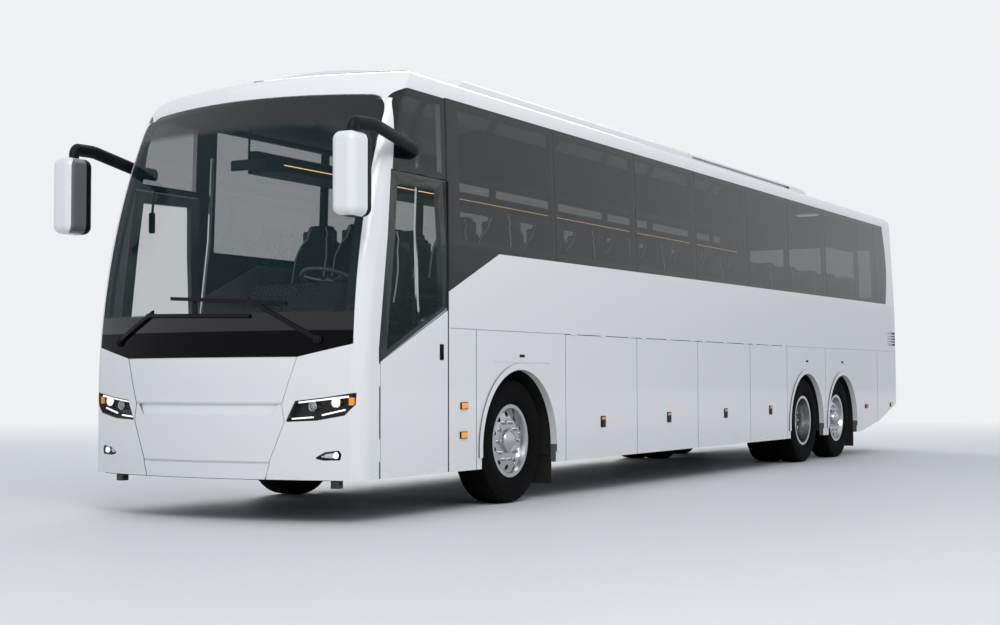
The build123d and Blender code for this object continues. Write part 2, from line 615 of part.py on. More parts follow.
# Front doors: a lower panel, a framed opening above it, and glass bonded over the frame
door_zone = side_block([(DOOR_FRONT, 200), (DOOR_FRONT, DOOR_LEAN_Z), (DOOR_HEAD_FRONT, DOOR_TOP_Z),
                        (DOOR_REAR, DOOR_TOP_Z), (DOOR_REAR, 200)])
light_zone = side_block([(DOOR_FRONT - 50, 1130), (DOOR_REAR + 50, 1590), (DOOR_REAR + 50, DOOR_TOP_Z + 20),
                         (DOOR_FRONT - 50, DOOR_TOP_Z + 20)])
light = side_block([(-1981, 1244), (-1205, 1595), (-1248, 2487), (-1823, 2471)])
door_glass = nose_glass & door_zone & light_zone
door = (nose_wall & door_zone) - (nose_glass & light_zone) - light
left_door = door
for z in (520, 1060):
    left_door += Pos(HALF, FRONT_AXLE_Y + DOOR_FRONT, z) * barrel(160)
save("door_left", left_door)
save("door_left_glass", door_glass)

# The passenger door rides on two bowed arms that turn on a post beside the doorway
POST_X = -1130
POST_Y = FRONT_AXLE_Y + DOOR_FRONT + 80
POST_RADIUS = 22
ARM_PIN_X = -1195
ARM_PIN_Y = POST_Y + 520
ARM_PIN_RADIUS = 12
ARM_HEIGHTS = (640, 1040)
ARM_DEPTH = 30
arm_path = [(POST_X, POST_Y), (POST_X + 160, POST_Y + 180), (POST_X + 120, POST_Y + 400), (ARM_PIN_X, ARM_PIN_Y)]
post = Pos(POST_X, POST_Y, STEP_FLOOR_Z + SEAT_GAP) * Cylinder(
    POST_RADIUS, ARM_HEIGHTS[1] + 60 - STEP_FLOOR_Z, align=(Align.CENTER, Align.CENTER, Align.MIN))
for z in ARM_HEIGHTS:
    plan_line = Polyline(*arm_path)
    strip = trace(plan_line, line_width=34)
    bar = Pos(0, 0, z - ARM_DEPTH / 2) * extrude(strip, ARM_DEPTH)
    eye = Pos(ARM_PIN_X, ARM_PIN_Y, z) * Cylinder(ARM_PIN_RADIUS + 10, ARM_DEPTH)
    post = post + bar + eye
for z in ARM_HEIGHTS:
    post -= Pos(ARM_PIN_X, ARM_PIN_Y, z) * Cylinder(ARM_PIN_RADIUS + BEARING_CLEARANCE, ARM_DEPTH + 2)
save("door_arms", post)
right_door = mirrored(door)
for z in ARM_HEIGHTS:
    for side in (-1, 1):
        right_door += span_box(WALL - HALF - 2, ARM_PIN_X + 14, ARM_PIN_Y - 20, ARM_PIN_Y + 20,
                               z + side * 28 - 10, z + side * 28 + 10)
    right_door += Pos(ARM_PIN_X, ARM_PIN_Y, z) * Cylinder(ARM_PIN_RADIUS, 50)
save("door_right", right_door)
save("door_right_glass", mirrored(door_glass))

# Tail: rear wall with its window, engine door, lamps and bumper


def back_block(points):
    """A block through the tail, with its outline in front view."""
    return run(make_face(Polyline(*points, close=True)), TAIL_SPLIT_Y + WALL + 5, REAR_Y + 100)


def tail_box(half, low, high):
    return back_block([(-half, low), (half, low), (half, high), (-half, high)])


lamp_block = back_block([(TAIL_LAMP[0], TAIL_LAMP[2]), (TAIL_LAMP[1], TAIL_LAMP[2]),
                         (TAIL_LAMP[1], TAIL_LAMP[3]), (TAIL_LAMP[0], TAIL_LAMP[3])])
lamp_blocks = lamp_block + mirrored(lamp_block)
tail_zone = span_box(-HALF, HALF, TAIL_SPLIT_Y, REAR_Y + 50, 200, GLASS_TOP_Z) - side_zone - mirrored(side_zone)
skirt_zone = side_block([(WALL_FRONT, 200), (TAIL_SEAM, 200), (TAIL_SEAM, SKIRT_TOP), (WALL_FRONT, SKIRT_TOP)])
tail_zone = tail_zone - skirt_zone - mirrored(skirt_zone)
rear_wall = (tail_wall & tail_zone) - departure
window_block = tail_box(REAR_WINDOW[0], REAR_WINDOW[1], REAR_WINDOW[2])
window_glass = tail_glass & window_block
engine_zone = tail_box(ENGINE_DOOR[0], ENGINE_DOOR[1], ENGINE_DOOR[2])
engine_hole = tail_box(ENGINE_DOOR[0] + PANEL_GAP, ENGINE_DOOR[1] - PANEL_GAP, ENGINE_DOOR[2] + HINGE_GAP)
bumper_zone = span_box(-HALF - 10, HALF + 10, TAIL_SPLIT_Y, REAR_Y + 60, 200, BUMPER_TOP_Z)
rear_wall = rear_wall - window_glass - tail_box(REAR_WINDOW[0] - 50, REAR_WINDOW[1] + 50, REAR_WINDOW[2] - 50)
rear_wall = rear_wall - engine_hole - bumper_zone - (lamp_blocks & tail_wall)
save("rear_wall", rear_wall)
save("cabin_glass", Compound([*both_sides(Compound([*panes.solids(), *over_pane.solids()])).solids(),
                              *window_glass.solids()]))
tail_lamp_layer = tail_form(LAMP_RECESS) - tail_forms[2]
save("tail_lamps", tail_lamp_layer & lamp_blocks)
save("rear_bumper", ((tail_wall & tail_zone) - departure) & bumper_zone)
engine_door = tail_wall & engine_zone
hinge_y = REAR_Y - tail(ENGINE_DOOR[2])
engine_door += Pos(0, hinge_y, ENGINE_DOOR[2]) * Rot(0, 90, 0) * barrel(300)
save("engine_door", engine_door)

# Floors: driver's platform, saloon floor, steps at both front doors
inner = WALL + SEAT_GAP
floor_half = HALF - inner
saloon_front = FRONT_AXLE_Y - 700
saloon_board = span_box(-floor_half, floor_half, saloon_front + SEAT_GAP, FRONT_AXLE_Y + 11100,
                        SALOON_FLOOR_Z - FLOOR_THICK, SALOON_FLOOR_Z)
platform = span_box(-AISLE_SIDE, PLATFORM_EDGE, FRONT_AXLE_Y - 2250, saloon_front,
                    DRIVER_FLOOR_Z - FLOOR_THICK, DRIVER_FLOOR_Z)
platform += span_box(-floor_half, floor_half, FRONT_AXLE_Y - 1120, saloon_front,
                     DRIVER_FLOOR_Z - FLOOR_THICK, DRIVER_FLOOR_Z)
platform += span_box(-1000, 1000, FRONT_AXLE_Y - 2250, FRONT_AXLE_Y + DOOR_FRONT - 10,
                     DRIVER_FLOOR_Z - FLOOR_THICK, DRIVER_FLOOR_Z)
riser = span_box(-floor_half, floor_half, saloon_front - 20, saloon_front,
                 DRIVER_FLOOR_Z - FLOOR_THICK, SALOON_FLOOR_Z)
floor = platform + riser
well_front = FRONT_AXLE_Y + DOOR_FRONT + 20
well_back = FRONT_AXLE_Y + DOOR_REAR - 10


def step_well(inner_edge, steps):
    """Steps from the doorway up to the platform: a bottom tread, then treads and their risers."""
    well = span_box(STEP_EDGE - 10, floor_half, well_front, well_back, STEP_FLOOR_Z - FLOOR_THICK, STEP_FLOOR_Z)
    depth = (STEP_EDGE - inner_edge) / len(steps)
    last = STEP_FLOOR_Z
    edge = STEP_EDGE
    for z in steps:
        well += span_box(edge - depth, edge, well_front, well_back, z - FLOOR_THICK, z)
        well += span_box(edge - 20, edge, well_front, well_back, last - FLOOR_THICK, z)
        last = z
        edge -= depth
    well += span_box(edge - 20, edge, well_front, well_back, last - FLOOR_THICK, DRIVER_FLOOR_Z)
    return well + span_box(max(edge, RAIL_HALF + RAIL_WIDTH), floor_half, well_back - 1, well_back + 20,
                           STEP_FLOOR_Z - FLOOR_THICK, DRIVER_FLOOR_Z)


floor += step_well(PLATFORM_EDGE, (785,))
floor += mirrored(step_well(AISLE_SIDE, (603, 785, 968)))
save("floor", Compound([*floor.solids(), *saloon_board.solids()]))

# Luggage hold: floor and bulkheads between the axles
hold_half = HALF - WALL - 10
hold = span_box(-hold_half, hold_half, FRONT_AXLE_Y + FLAP_SEAMS[0], FRONT_AXLE_Y + FLAP_SEAMS[-1],
                HOLD_FLOOR_Z - FLOOR_THICK, HOLD_FLOOR_Z)
for seam in FLAP_SEAMS:
    hold += span_box(-hold_half, hold_half, FRONT_AXLE_Y + seam - 15, FRONT_AXLE_Y + seam + 15,
                     HOLD_FLOOR_Z - FLOOR_THICK, SALOON_FLOOR_Z - FLOOR_THICK)
save("luggage_hold", hold)

# Underframe: rails over the front axle and over the rear axles, with cross members
RAIL_LOW = 640
RAIL_HIGH = 780
REAR_RAIL_LOW = 720
REAR_RAIL_HIGH = 880
frame = None
for front, back, low, high, crosses in (
        (FRONT_AXLE_Y - 2250, FRONT_AXLE_Y + FLAP_SEAMS[0] - 15, RAIL_LOW, RAIL_HIGH, (-2150, -1080, -450, 450)),
        (FRONT_AXLE_Y + FLAP_SEAMS[-1] + 15, REAR_Y - 150, REAR_RAIL_LOW, REAR_RAIL_HIGH,
         (6900, 8140, 9500, 11300))):
    for side in (-1, 1):
        rail = span_box(side * RAIL_HALF - RAIL_WIDTH / 2, side * RAIL_HALF + RAIL_WIDTH / 2,
                        front, back, low, high)
        frame = rail if frame is None else frame + rail
    for place in crosses:
        y = FRONT_AXLE_Y + place
        frame += span_box(-RAIL_HALF, RAIL_HALF, y - 40, y + 40, low + 20, high - 20)
        top = DRIVER_FLOOR_Z if place < -700 else SALOON_FLOOR_Z
        for side in (-1, 1):
            x = side * RAIL_HALF
            frame += span_box(x - 30, x + 30, y - 30, y + 30, high - 10, top - FLOOR_THICK)

# The beam behind the bumper, hung from the front rails, and the towing lugs under its ends
BEAM_PLACE = -2250
BEAM_HALF = 1060
BEAM_LOW = 330
BEAM_HIGH = 400
LUG_X = 1020
LUG_WIDTH = 60
LUG_LOW = 250
LUG_HOLE_Z = 284
LUG_HOLE_RADIUS = 14
beam_y = FRONT_AXLE_Y + BEAM_PLACE
frame += span_box(-BEAM_HALF, BEAM_HALF, beam_y - 40, beam_y + 40, BEAM_LOW, BEAM_HIGH)
for side in (-1, 1):
    frame += span_box(side * RAIL_HALF - 30, side * RAIL_HALF + 30, beam_y - 40, beam_y + 40, BEAM_LOW, RAIL_HIGH)
    lug_x = side * LUG_X
    frame += span_box(lug_x - LUG_WIDTH / 2, lug_x + LUG_WIDTH / 2, beam_y - 34, beam_y + 34, LUG_LOW, BEAM_LOW)
    frame -= Pos(lug_x, beam_y, LUG_HOLE_Z) * Rot(0, 90, 0) * Cylinder(LUG_HOLE_RADIUS, LUG_WIDTH + 2)
save("underframe", frame)
engine_half = RAIL_HALF - RAIL_WIDTH / 2 - SEAT_GAP
save("engine_block", span_box(-engine_half, engine_half, FRONT_AXLE_Y + 9700, FRONT_AXLE_Y + 11150, 600, 1330))

# Wheel arch liners: half round hoods with an inner wall, and the rubber mud flaps behind them


def liner(y, radius, inner_x):
    hood = Pos(inner_x, y, ARCH_CENTRE_Z) * Rot(0, 90, 0) * Cylinder(
        radius + LINER, HALF - WALL - SEAT_GAP - inner_x, align=(Align.CENTER, Align.CENTER, Align.MIN))
    hood -= Pos(inner_x + LINER, y, ARCH_CENTRE_Z) * Rot(0, 90, 0) * Cylinder(
        radius, HALF - inner_x, align=(Align.CENTER, Align.CENTER, Align.MIN))
    hood -= span_box(0, inner_x + 50, y - 130, y + 130, 0, HUB_Z + 140)
    return hood - span_box(0, HALF, y - 1000, y + 1000, -1000, ARCH_CENTRE_Z - 100)


FLAP_INNER_X = 900
FLAP_FOOT_Z = 125


def mud_flap(y, radius):
    """The rubber flap that hangs from the rear foot of a liner."""
    return span_box(FLAP_INNER_X, HALF - WALL - SEAT_GAP, y + radius, y + radius + LINER,
                    FLAP_FOOT_Z, ARCH_CENTRE_Z - 100)


front_liner = liner(arches["front"][0], ARCH_RADIUS, FRONT_LINER_X) + mud_flap(*arches["front"])
tag_liner = liner(arches["tag"][0], TAG_ARCH_RADIUS, REAR_LINER_X) + mud_flap(*arches["tag"])
liners = Compound([*front_liner.solids(), *liner(arches["drive"][0], TWIN_ARCH_RADIUS, REAR_LINER_X).solids(),
                   *tag_liner.solids()])
save("wheel_liners", both_sides(liners))


# Wheels: the tyre and the wheel are turned about the axle
def turned(points):
    """A closed profile of (distance along the axle, radius) turned about the X axis."""
    face = make_face(Polyline(*points, close=True))
    return revolve(face, Axis.X, 360)


def hub_cap(start, rise, radius):
    """The domed cap that closes a hub's bore."""
    dome = ThreePointArc((start + rise, 0), (start + rise * 0.72, radius * 0.6), (start, radius))
    edge = Polyline((start, radius), (start - CAP_SEAT, radius), (start - CAP_SEAT, 0), (start + rise, 0))
    return revolve(make_face(Curve() + [dome, edge]), Axis.X, 360)


tyre_profile = [(-112, BEAD_RADIUS + SEAT_GAP), (-112, 308), (-145, 400), (-132, 490), (-105, TYRE_RADIUS),
                (105, TYRE_RADIUS), (132, 490), (145, 400), (112, 308), (112, BEAD_RADIUS + SEAT_GAP)]
tyre = turned(tyre_profile)
BORE = SPINDLE_RADIUS + BEARING_CLEARANCE
CAP_SEAT = 6
single_profile = [(-112.3, BEAD_RADIUS), (-112.3, 304), (-122, 304), (-122, 274), (-40, 262), (10, 262),
                  (50, 240), (72, 190), (72, 110), (-40, 110), (-40, BORE), (120, BORE), (120, 80), (92, 100),
                  (92, 190), (70, 256), (120, 274), (122, 304), (112.3, 304), (112.3, BEAD_RADIUS)]
single = turned(single_profile) + hub_cap(120, 34, 80)
for step in range(HAND_HOLES):
    single -= Rot(360 / HAND_HOLES * step, 0, 0) * Pos(80, 0, 222) * Rot(0, 90 - 30, 0) * Cylinder(24, 120)
for step in range(WHEEL_NUTS):
    single += Rot(360 / WHEEL_NUTS * step + 18, 0, 0) * Pos(104, 0, 160) * Rot(0, 90, 0) * extrude(
        RegularPolygon(16, 6), 13, both=True)
for name, place in (("front_left", FRONT_AXLE_Y), ("tag_left", TAG_AXLE_Y)):
    track = STEER_TRACK_HALF if name == "front_left" else TAG_TRACK_HALF
    right = name.replace("left", "right")
    save(f"tyre_{name}", Pos(track, place, HUB_Z) * tyre)
    save(f"wheel_{name}", Pos(track, place, HUB_Z) * single)
    save(f"tyre_{right}", mirrored(Pos(track, place, HUB_Z) * tyre))
    save(f"wheel_{right}", mirrored(Pos(track, place, HUB_Z) * single))
twin_tyres = Compound([*(Pos(TWIN_OUTER_HALF, DRIVE_AXLE_Y, HUB_Z) * tyre).solids(),
                       *(Pos(TWIN_INNER_HALF, DRIVE_AXLE_Y, HUB_Z) * tyre).solids()])
dish = TWIN_INNER_HALF + TYRE_WIDTH / 2 + 20
outer_profile = [(TWIN_OUTER_HALF - 112.3, BEAD_RADIUS), (TWIN_OUTER_HALF - 112.3, 304),
                 (TWIN_OUTER_HALF - 122, 304), (dish + 26, 262),
                 (dish, 230), (dish, 110), (dish - 60, 110), (dish - 60, BORE), (dish + 150, BORE),
                 (dish + 150, 60), (dish + 140, 95), (dish + 24, 105), (dish + 24, 215), (dish + 60, 250),
                 (TWIN_OUTER_HALF + 120, 274), (TWIN_OUTER_HALF + 122, 304), (TWIN_OUTER_HALF + 112.3, 304),
                 (TWIN_OUTER_HALF + 112.3, BEAD_RADIUS)]
inner_profile = [(TWIN_INNER_HALF - 112.3, BEAD_RADIUS), (TWIN_INNER_HALF - 112.3, 304),
                 (TWIN_INNER_HALF - 122, 304), (TWIN_INNER_HALF - 120, 272),
                 (dish - 60, 255), (dish - 24, 215), (dish - 24, 105), (dish - 0.5, 105), (dish - 0.5, 230),
                 (dish - 20, 262), (TWIN_INNER_HALF + 122, 304), (TWIN_INNER_HALF + 112.3, 304),
                 (TWIN_INNER_HALF + 112.3, BEAD_RADIUS)]
twin = Pos(0, DRIVE_AXLE_Y, HUB_Z) * (turned(outer_profile) + turned(inner_profile) + hub_cap(dish + 150, 24, 60))
save("tyre_drive_left", twin_tyres)
save("wheel_drive_left", twin)
save("tyre_drive_right", mirrored(twin_tyres))
save("wheel_drive_right", mirrored(twin))

# Knuckles: two ears on the kingpin, a web between them and the spindle
EYE_RADIUS = 52
EYE_HALF = 60
EAR = 40


def across(radius, x0, x1, y, z):
    return Pos(x0, y, z) * Rot(0, 90, 0) * Cylinder(radius, x1 - x0, align=(Align.CENTER, Align.CENTER, Align.MIN))


def upright(radius, x, y, z0, z1):
    return Pos(x, y, z0) * Cylinder(radius, z1 - z0, align=(Align.CENTER, Align.CENTER, Align.MIN))


knuckle = upright(KINGPIN_RADIUS, KINGPIN_HALF, FRONT_AXLE_Y, HUB_Z - EYE_HALF - EAR, HUB_Z + EYE_HALF + EAR)
for side in (-1, 1):
    low = HUB_Z + side * (EYE_HALF + 2 + EAR / 2) - EAR / 2
    knuckle += upright(EYE_RADIUS - 4, KINGPIN_HALF, FRONT_AXLE_Y, low, low + EAR)
    knuckle += span_box(KINGPIN_HALF, KINGPIN_HALF + EYE_RADIUS + 26, FRONT_AXLE_Y - 40, FRONT_AXLE_Y + 40,
                        low, low + EAR)
knuckle += span_box(KINGPIN_HALF + EYE_RADIUS + 4, KINGPIN_HALF + EYE_RADIUS + 26, FRONT_AXLE_Y - 40,
                    FRONT_AXLE_Y + 40, HUB_Z - EYE_HALF - EAR, HUB_Z + EYE_HALF + EAR)
knuckle += across(SPINDLE_RADIUS, KINGPIN_HALF + EYE_RADIUS + 20, STEER_TRACK_HALF + 110, FRONT_AXLE_Y, HUB_Z)
save("knuckle_left", knuckle)
save("knuckle_right", mirrored(knuckle))

# Axles, with the air springs that carry the frame on them
beam = span_box(-KINGPIN_HALF + 40, KINGPIN_HALF - 40, FRONT_AXLE_Y - 45, FRONT_AXLE_Y + 45, HUB_Z - 50, HUB_Z + 50)
beam -= span_box(-700, 700, FRONT_AXLE_Y - 50, FRONT_AXLE_Y - 15, HUB_Z - 30, HUB_Z + 30)
beam -= span_box(-700, 700, FRONT_AXLE_Y + 15, FRONT_AXLE_Y + 50, HUB_Z - 30, HUB_Z + 30)
for side in (-1, 1):
    x = side * KINGPIN_HALF
    beam += upright(EYE_RADIUS, x, FRONT_AXLE_Y, HUB_Z - EYE_HALF, HUB_Z + EYE_HALF)
    beam -= upright(KINGPIN_RADIUS + BEARING_CLEARANCE, x, FRONT_AXLE_Y, HUB_Z - 100, HUB_Z + 100)
save("front_axle", beam)
tube = across(75, -560, 560, DRIVE_AXLE_Y, HUB_Z) + Pos(0, DRIVE_AXLE_Y, HUB_Z) * Rot(90, 0, 0) * Cylinder(210, 260)
for side in (-1, 1):
    x0, x1 = sorted((side * 550, side * (dish + 140)))
    tube += across(SPINDLE_RADIUS, x0, x1, DRIVE_AXLE_Y, HUB_Z)
save("drive_axle", tube)
tag = across(65, -880, 880, TAG_AXLE_Y, HUB_Z)
for side in (-1, 1):
    x0, x1 = sorted((side * 870, side * (TAG_TRACK_HALF + 110)))
    tag += across(SPINDLE_RADIUS, x0, x1, TAG_AXLE_Y, HUB_Z)
save("tag_axle", tag)
springs = []
for y, low, high, x in ((FRONT_AXLE_Y, HUB_Z + 50, RAIL_HIGH, 400), (DRIVE_AXLE_Y, HUB_Z + 75, REAR_RAIL_HIGH, 400),
                        (TAG_AXLE_Y, HUB_Z + 65, REAR_RAIL_HIGH, 400)):
    low_rail = RAIL_LOW if y == FRONT_AXLE_Y else REAR_RAIL_LOW
    for side in (-1, 1):
        springs.append(upright(38, side * x, y, low, low_rail))
save("air_springs", Compound([solid for spring in springs for solid in spring.solids()]))


# Inside: dashboard, steering wheel, crew seats, passenger seats and racks
def dash_part(profile, x0, x1):
    return Pos(x0, 0, 0) * extrude(Plane.YZ * make_face(Polyline(*at(profile), close=True)), x1 - x0)


shelf_profile = [(-2500, 1150), (-2150, 1150), (-2060, 1330), (-2050, 1470), (-2120, 1500), (-2330, 1440),
                 (-2500, 1410)]
hump_profile = [(-2500, 1150), (-2150, 1150), (-2000, 1400), (-1925, 1690), (-1960, 1740), (-2040, 1746),
                (-2180, 1560), (-2330, 1440), (-2500, 1410)]
dash = dash_part(shelf_profile, -1100, 1100) + dash_part(hump_profile, 120, 960)
save("dashboard", dash & nose_forms[2])
wheel_centre = (DRIVER_X, FRONT_AXLE_Y - 1560, 1780)
rim = revolve(Plane.XZ * Pos(235, 0) * RegularPolygon(17, 8), Axis.Z, 360)
rim += Cylinder(60, 30)
for turn in (90, 210, 330):
    rim += Rot(0, 0, turn) * Pos(140, 0, 0) * Box(200, 30, 14)
rim += Pos(0, 0, -400) * Cylinder(35, 800)
rim = Pos(*wheel_centre) * Rot(-25, 0, 0) * rim
save("steering_wheel", rim - span_box(0, HALF, NOSE_Y, 0, 0, DRIVER_FLOOR_Z + SEAT_GAP))


def seat(width, back_height):
    """One seat on its pedestal: a side profile, narrowed to the headrest in front view."""
    profile = [(20, 350), (0, 400), (40, 470), (500, 455), (600, back_height - 230), (590, back_height - 60),
               (630, back_height), (690, back_height - 10), (700, back_height - 200), (620, 350)]
    body = extrude(Plane.YZ * make_face(Polyline(*profile, close=True)), width / 2, both=True)
    half = width / 2
    outline = [(half, 300), (half, back_height - 300), (half - 70, back_height - 190),
               (half - 80, back_height - 50), (half - 120, back_height + 1)]
    body &= run(make_face(Polyline(*whole(outline), close=True)), -100, 900)
    return body + span_box(60 - half, half - 60, 120, 460, 0, 360)


driver_seat = seat(460, 1120)
save("crew_seats", Pos(DRIVER_X, FRONT_AXLE_Y - 1420, DRIVER_FLOOR_Z) * driver_seat)
saloon_seat = seat(SEAT_WIDTH, 1060)
rows = []
for row in range(SEAT_ROWS):
    y = FRONT_AXLE_Y + FIRST_ROW + row * SEAT_PITCH
    for x in SEAT_PLACES:
        rows.append(Pos(x, y, SALOON_FLOOR_Z) * saloon_seat)
save("passenger_seats", Compound([solid for one in rows for solid in one.solids()]))
rack_out = [(half_width(z) - WALL - SEAT_GAP, z) for z in (2860, 3060)]
rack_face = make_face(Polyline((820, 2860), rack_out[0], rack_out[1], (1100, 3060), (860, 3000), close=True))
rack = run(rack_face, FRONT_AXLE_Y - 500, FRONT_AXLE_Y + 10600)
save("luggage_racks", both_sides(rack))

# Mirrors: a bowed arm from over each door runs forward and turns down into the mirror's head.
# The head is a white shell in front and a black bezel behind, which goes with the arm.
MIRROR_X = 1325
MIRROR_WIDTH = 200
MIRROR_FRONT = -2640
MIRROR_DEPTH = 270
MIRROR_LOW_Z = 2168
MIRROR_HIGH_Z = 2760
MIRROR_ROUND = 62
BEZEL_DEPTH = 90
ARM_TOP_Z = 2845
arm_points = [(HALF - 40, -1640, 2720), (MIRROR_X + 10, -1700, 2740), (MIRROR_X + 25, -2260, ARM_TOP_Z),
              (MIRROR_X, -2490, ARM_TOP_Z - 10), (MIRROR_X, -2500, MIRROR_HIGH_Z - 40)]
arm_places = [(x, y + FRONT_AXLE_Y, z) for x, y, z in arm_points]
arm_line = FilletPolyline(*arm_places, radius=(50, 300, 45))
arm_start = Plane(origin=arm_places[0], z_dir=arm_line % 0)
arm = sweep(arm_start * Ellipse(36, 50).face(), path=arm_line)
arm -= nose_forms[0]
head_y = FRONT_AXLE_Y + MIRROR_FRONT
head = span_box(MIRROR_X - MIRROR_WIDTH / 2, MIRROR_X + MIRROR_WIDTH / 2, head_y, head_y + MIRROR_DEPTH,
                MIRROR_LOW_Z, MIRROR_HIGH_Z)
head = fillet(head.edges(), MIRROR_ROUND)
rear_zone = span_box(0, 2000, head_y + MIRROR_DEPTH - BEZEL_DEPTH, head_y + 2000, 0, 4000)
glass_pocket = span_box(MIRROR_X - MIRROR_WIDTH / 2 + 22, MIRROR_X + MIRROR_WIDTH / 2 - 22,
                        head_y + MIRROR_DEPTH - 14, head_y + MIRROR_DEPTH + 1, MIRROR_LOW_Z + 34,
                        MIRROR_HIGH_Z - 34)
arm = (arm - (head - rear_zone)) + ((head & rear_zone) - glass_pocket)
save("mirrors", both_sides(head - rear_zone))
save("mirror_arms", both_sides(arm))

# Wipers lying on the glass
WIPER_DEPTH = 24
wiper_layer = (Pos(0, -WIPER_DEPTH, 0) * nose_forms[0]) - (Pos(0, -SEAT_GAP, 0) * nose_forms[0])
# Each wiper's arm and blade in front view, from the pivot's end to the tip
right_arm = [(-930, 1305), (-930, 1341), (-528, 1556), (-528, 1526)]
right_blade = [(-598, 1530), (409, 1508), (409, 1482), (-598, 1504)]
left_arm = [(957, 1301), (957, 1337), (381, 1637), (381, 1605)]
left_blade = [(-342, 1652), (699, 1595), (699, 1569), (-342, 1626)]
wipers = [(wiper_layer & front_block(arm)) + (wiper_layer & front_block(blade))
          for arm, blade in ((right_arm, right_blade), (left_arm, left_blade))]
save("wipers", wipers[0] + wipers[1])
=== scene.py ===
import json
from math import atan2, hypot, pi, radians

import bmesh
import bpy
from mathutils import Matrix, Vector


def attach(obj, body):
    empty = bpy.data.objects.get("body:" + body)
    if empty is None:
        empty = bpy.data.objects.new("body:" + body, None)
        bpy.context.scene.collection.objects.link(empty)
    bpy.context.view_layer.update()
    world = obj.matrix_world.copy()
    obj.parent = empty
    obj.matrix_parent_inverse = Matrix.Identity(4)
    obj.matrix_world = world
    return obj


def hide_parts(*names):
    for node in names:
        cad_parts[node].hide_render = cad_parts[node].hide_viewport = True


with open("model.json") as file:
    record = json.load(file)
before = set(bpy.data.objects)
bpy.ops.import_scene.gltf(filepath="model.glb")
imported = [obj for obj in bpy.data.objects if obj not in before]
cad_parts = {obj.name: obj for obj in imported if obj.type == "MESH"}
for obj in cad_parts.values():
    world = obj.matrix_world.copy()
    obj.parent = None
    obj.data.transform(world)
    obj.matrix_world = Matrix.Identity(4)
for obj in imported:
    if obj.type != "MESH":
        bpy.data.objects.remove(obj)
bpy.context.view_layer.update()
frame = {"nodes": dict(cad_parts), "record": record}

# The studio: a pale floor that fades into a white sky, with one wide soft lamp beyond the front
# left corner and weaker ones above and behind. The sky's light is weaker than it looks.
FLOOR_SIZE = 240
FLOOR_FADE = (8, 24)
FLOOR_COLOUR = (0.75, 0.755, 0.765)
SKY_LIGHT = (0.80, 0.86, 0.95, 1)
SKY_SEEN = (0.86, 0.875, 0.895, 1)
SKY_STRENGTH = 0.62
FAR_BAND = (0.01, 0.10)
FAR_BAND_COLOUR = (0.46, 0.475, 0.50, 1)


def add_node(nodes, kind, **settings):
    """A shader node. A name with a capital is an input, with underscores for its spaces."""
    node = nodes.new(f"ShaderNode{kind}")
    for name, value in settings.items():
        if name[0].isupper():
            node.inputs[name.replace("_", " ")].default_value = value
        else:
            setattr(node, name, value)
    return node


def math_node(nodes, operation, *values, clamped=False):
    """A sum of one kind, where None leaves an input to a link."""
    node = add_node(nodes, "Math", operation=operation, use_clamp=clamped)
    for index, value in enumerate(values):
        if value is not None:
            node.inputs[index].default_value = value
    return node


def connect(links, *pairs):
    """Links each output to the input beside it."""
    for start, end in pairs:
        links.new(start, end)


def smooth_range(nodes, low, high):
    return add_node(nodes, "MapRange", interpolation_type="SMOOTHSTEP", From_Min=low, From_Max=high)


def new_material(name, colour, roughness, metallic=0.0, coat=0.0, specular=None):
    """A material whose shader has its plain values set, with its nodes and links."""
    material = bpy.data.materials.new(name)
    material.use_nodes = True
    nodes, links = material.node_tree.nodes, material.node_tree.links
    shader = nodes["Principled BSDF"]
    shader.inputs["Base Color"].default_value = (*colour, 1)
    shader.inputs["Roughness"].default_value = roughness
    shader.inputs["Metallic"].default_value = metallic
    shader.inputs["Coat Weight"].default_value = coat
    shader.inputs["Coat Roughness"].default_value = 0.04
    if specular is not None:
        shader.inputs["Specular IOR Level"].default_value = specular
    return material, nodes, links, shader


scene = bpy.context.scene
scene.view_settings.view_transform = "Standard"
world = bpy.data.worlds.new("studio_sky")
world.use_nodes = True
scene.world = world
nodes, links = world.node_tree.nodes, world.node_tree.links
nodes.clear()
ray = add_node(nodes, "LightPath")
seen_or_glossy = math_node(nodes, "MAXIMUM")
seen_or_clear = math_node(nodes, "MAXIMUM")
way = add_node(nodes, "TexCoord")
split_way = add_node(nodes, "SeparateXYZ")
far_band = smooth_range(nodes, *FAR_BAND)
sky_gloss = add_node(nodes, "Mix", data_type="RGBA", A=FAR_BAND_COLOUR, B=SKY_SEEN)
sky_shown = add_node(nodes, "Mix", data_type="RGBA", A=SKY_SEEN)
sky_light = add_node(nodes, "Background", Color=SKY_LIGHT, Strength=SKY_STRENGTH)
sky_seen = add_node(nodes, "Background")
sky_mix = add_node(nodes, "MixShader")
sky_out = add_node(nodes, "OutputWorld")
connect(links,
        (ray.outputs["Is Camera Ray"], seen_or_glossy.inputs[0]),
        (ray.outputs["Is Glossy Ray"], seen_or_glossy.inputs[1]),
        (seen_or_glossy.outputs[0], seen_or_clear.inputs[0]),
        (ray.outputs["Is Transmission Ray"], seen_or_clear.inputs[1]),
        (way.outputs["Generated"], split_way.inputs[0]),
        (split_way.outputs["Z"], far_band.inputs["Value"]),
        (far_band.outputs[0], sky_gloss.inputs["Factor"]),
        (ray.outputs["Is Glossy Ray"], sky_shown.inputs["Factor"]),
        (sky_gloss.outputs["Result"], sky_shown.inputs["B"]),
        (sky_shown.outputs["Result"], sky_seen.inputs["Color"]),
        (seen_or_clear.outputs[0], sky_mix.inputs["Fac"]),
        (sky_light.outputs[0], sky_mix.inputs[1]),
        (sky_seen.outputs[0], sky_mix.inputs[2]),
        (sky_mix.outputs[0], sky_out.inputs["Surface"]))

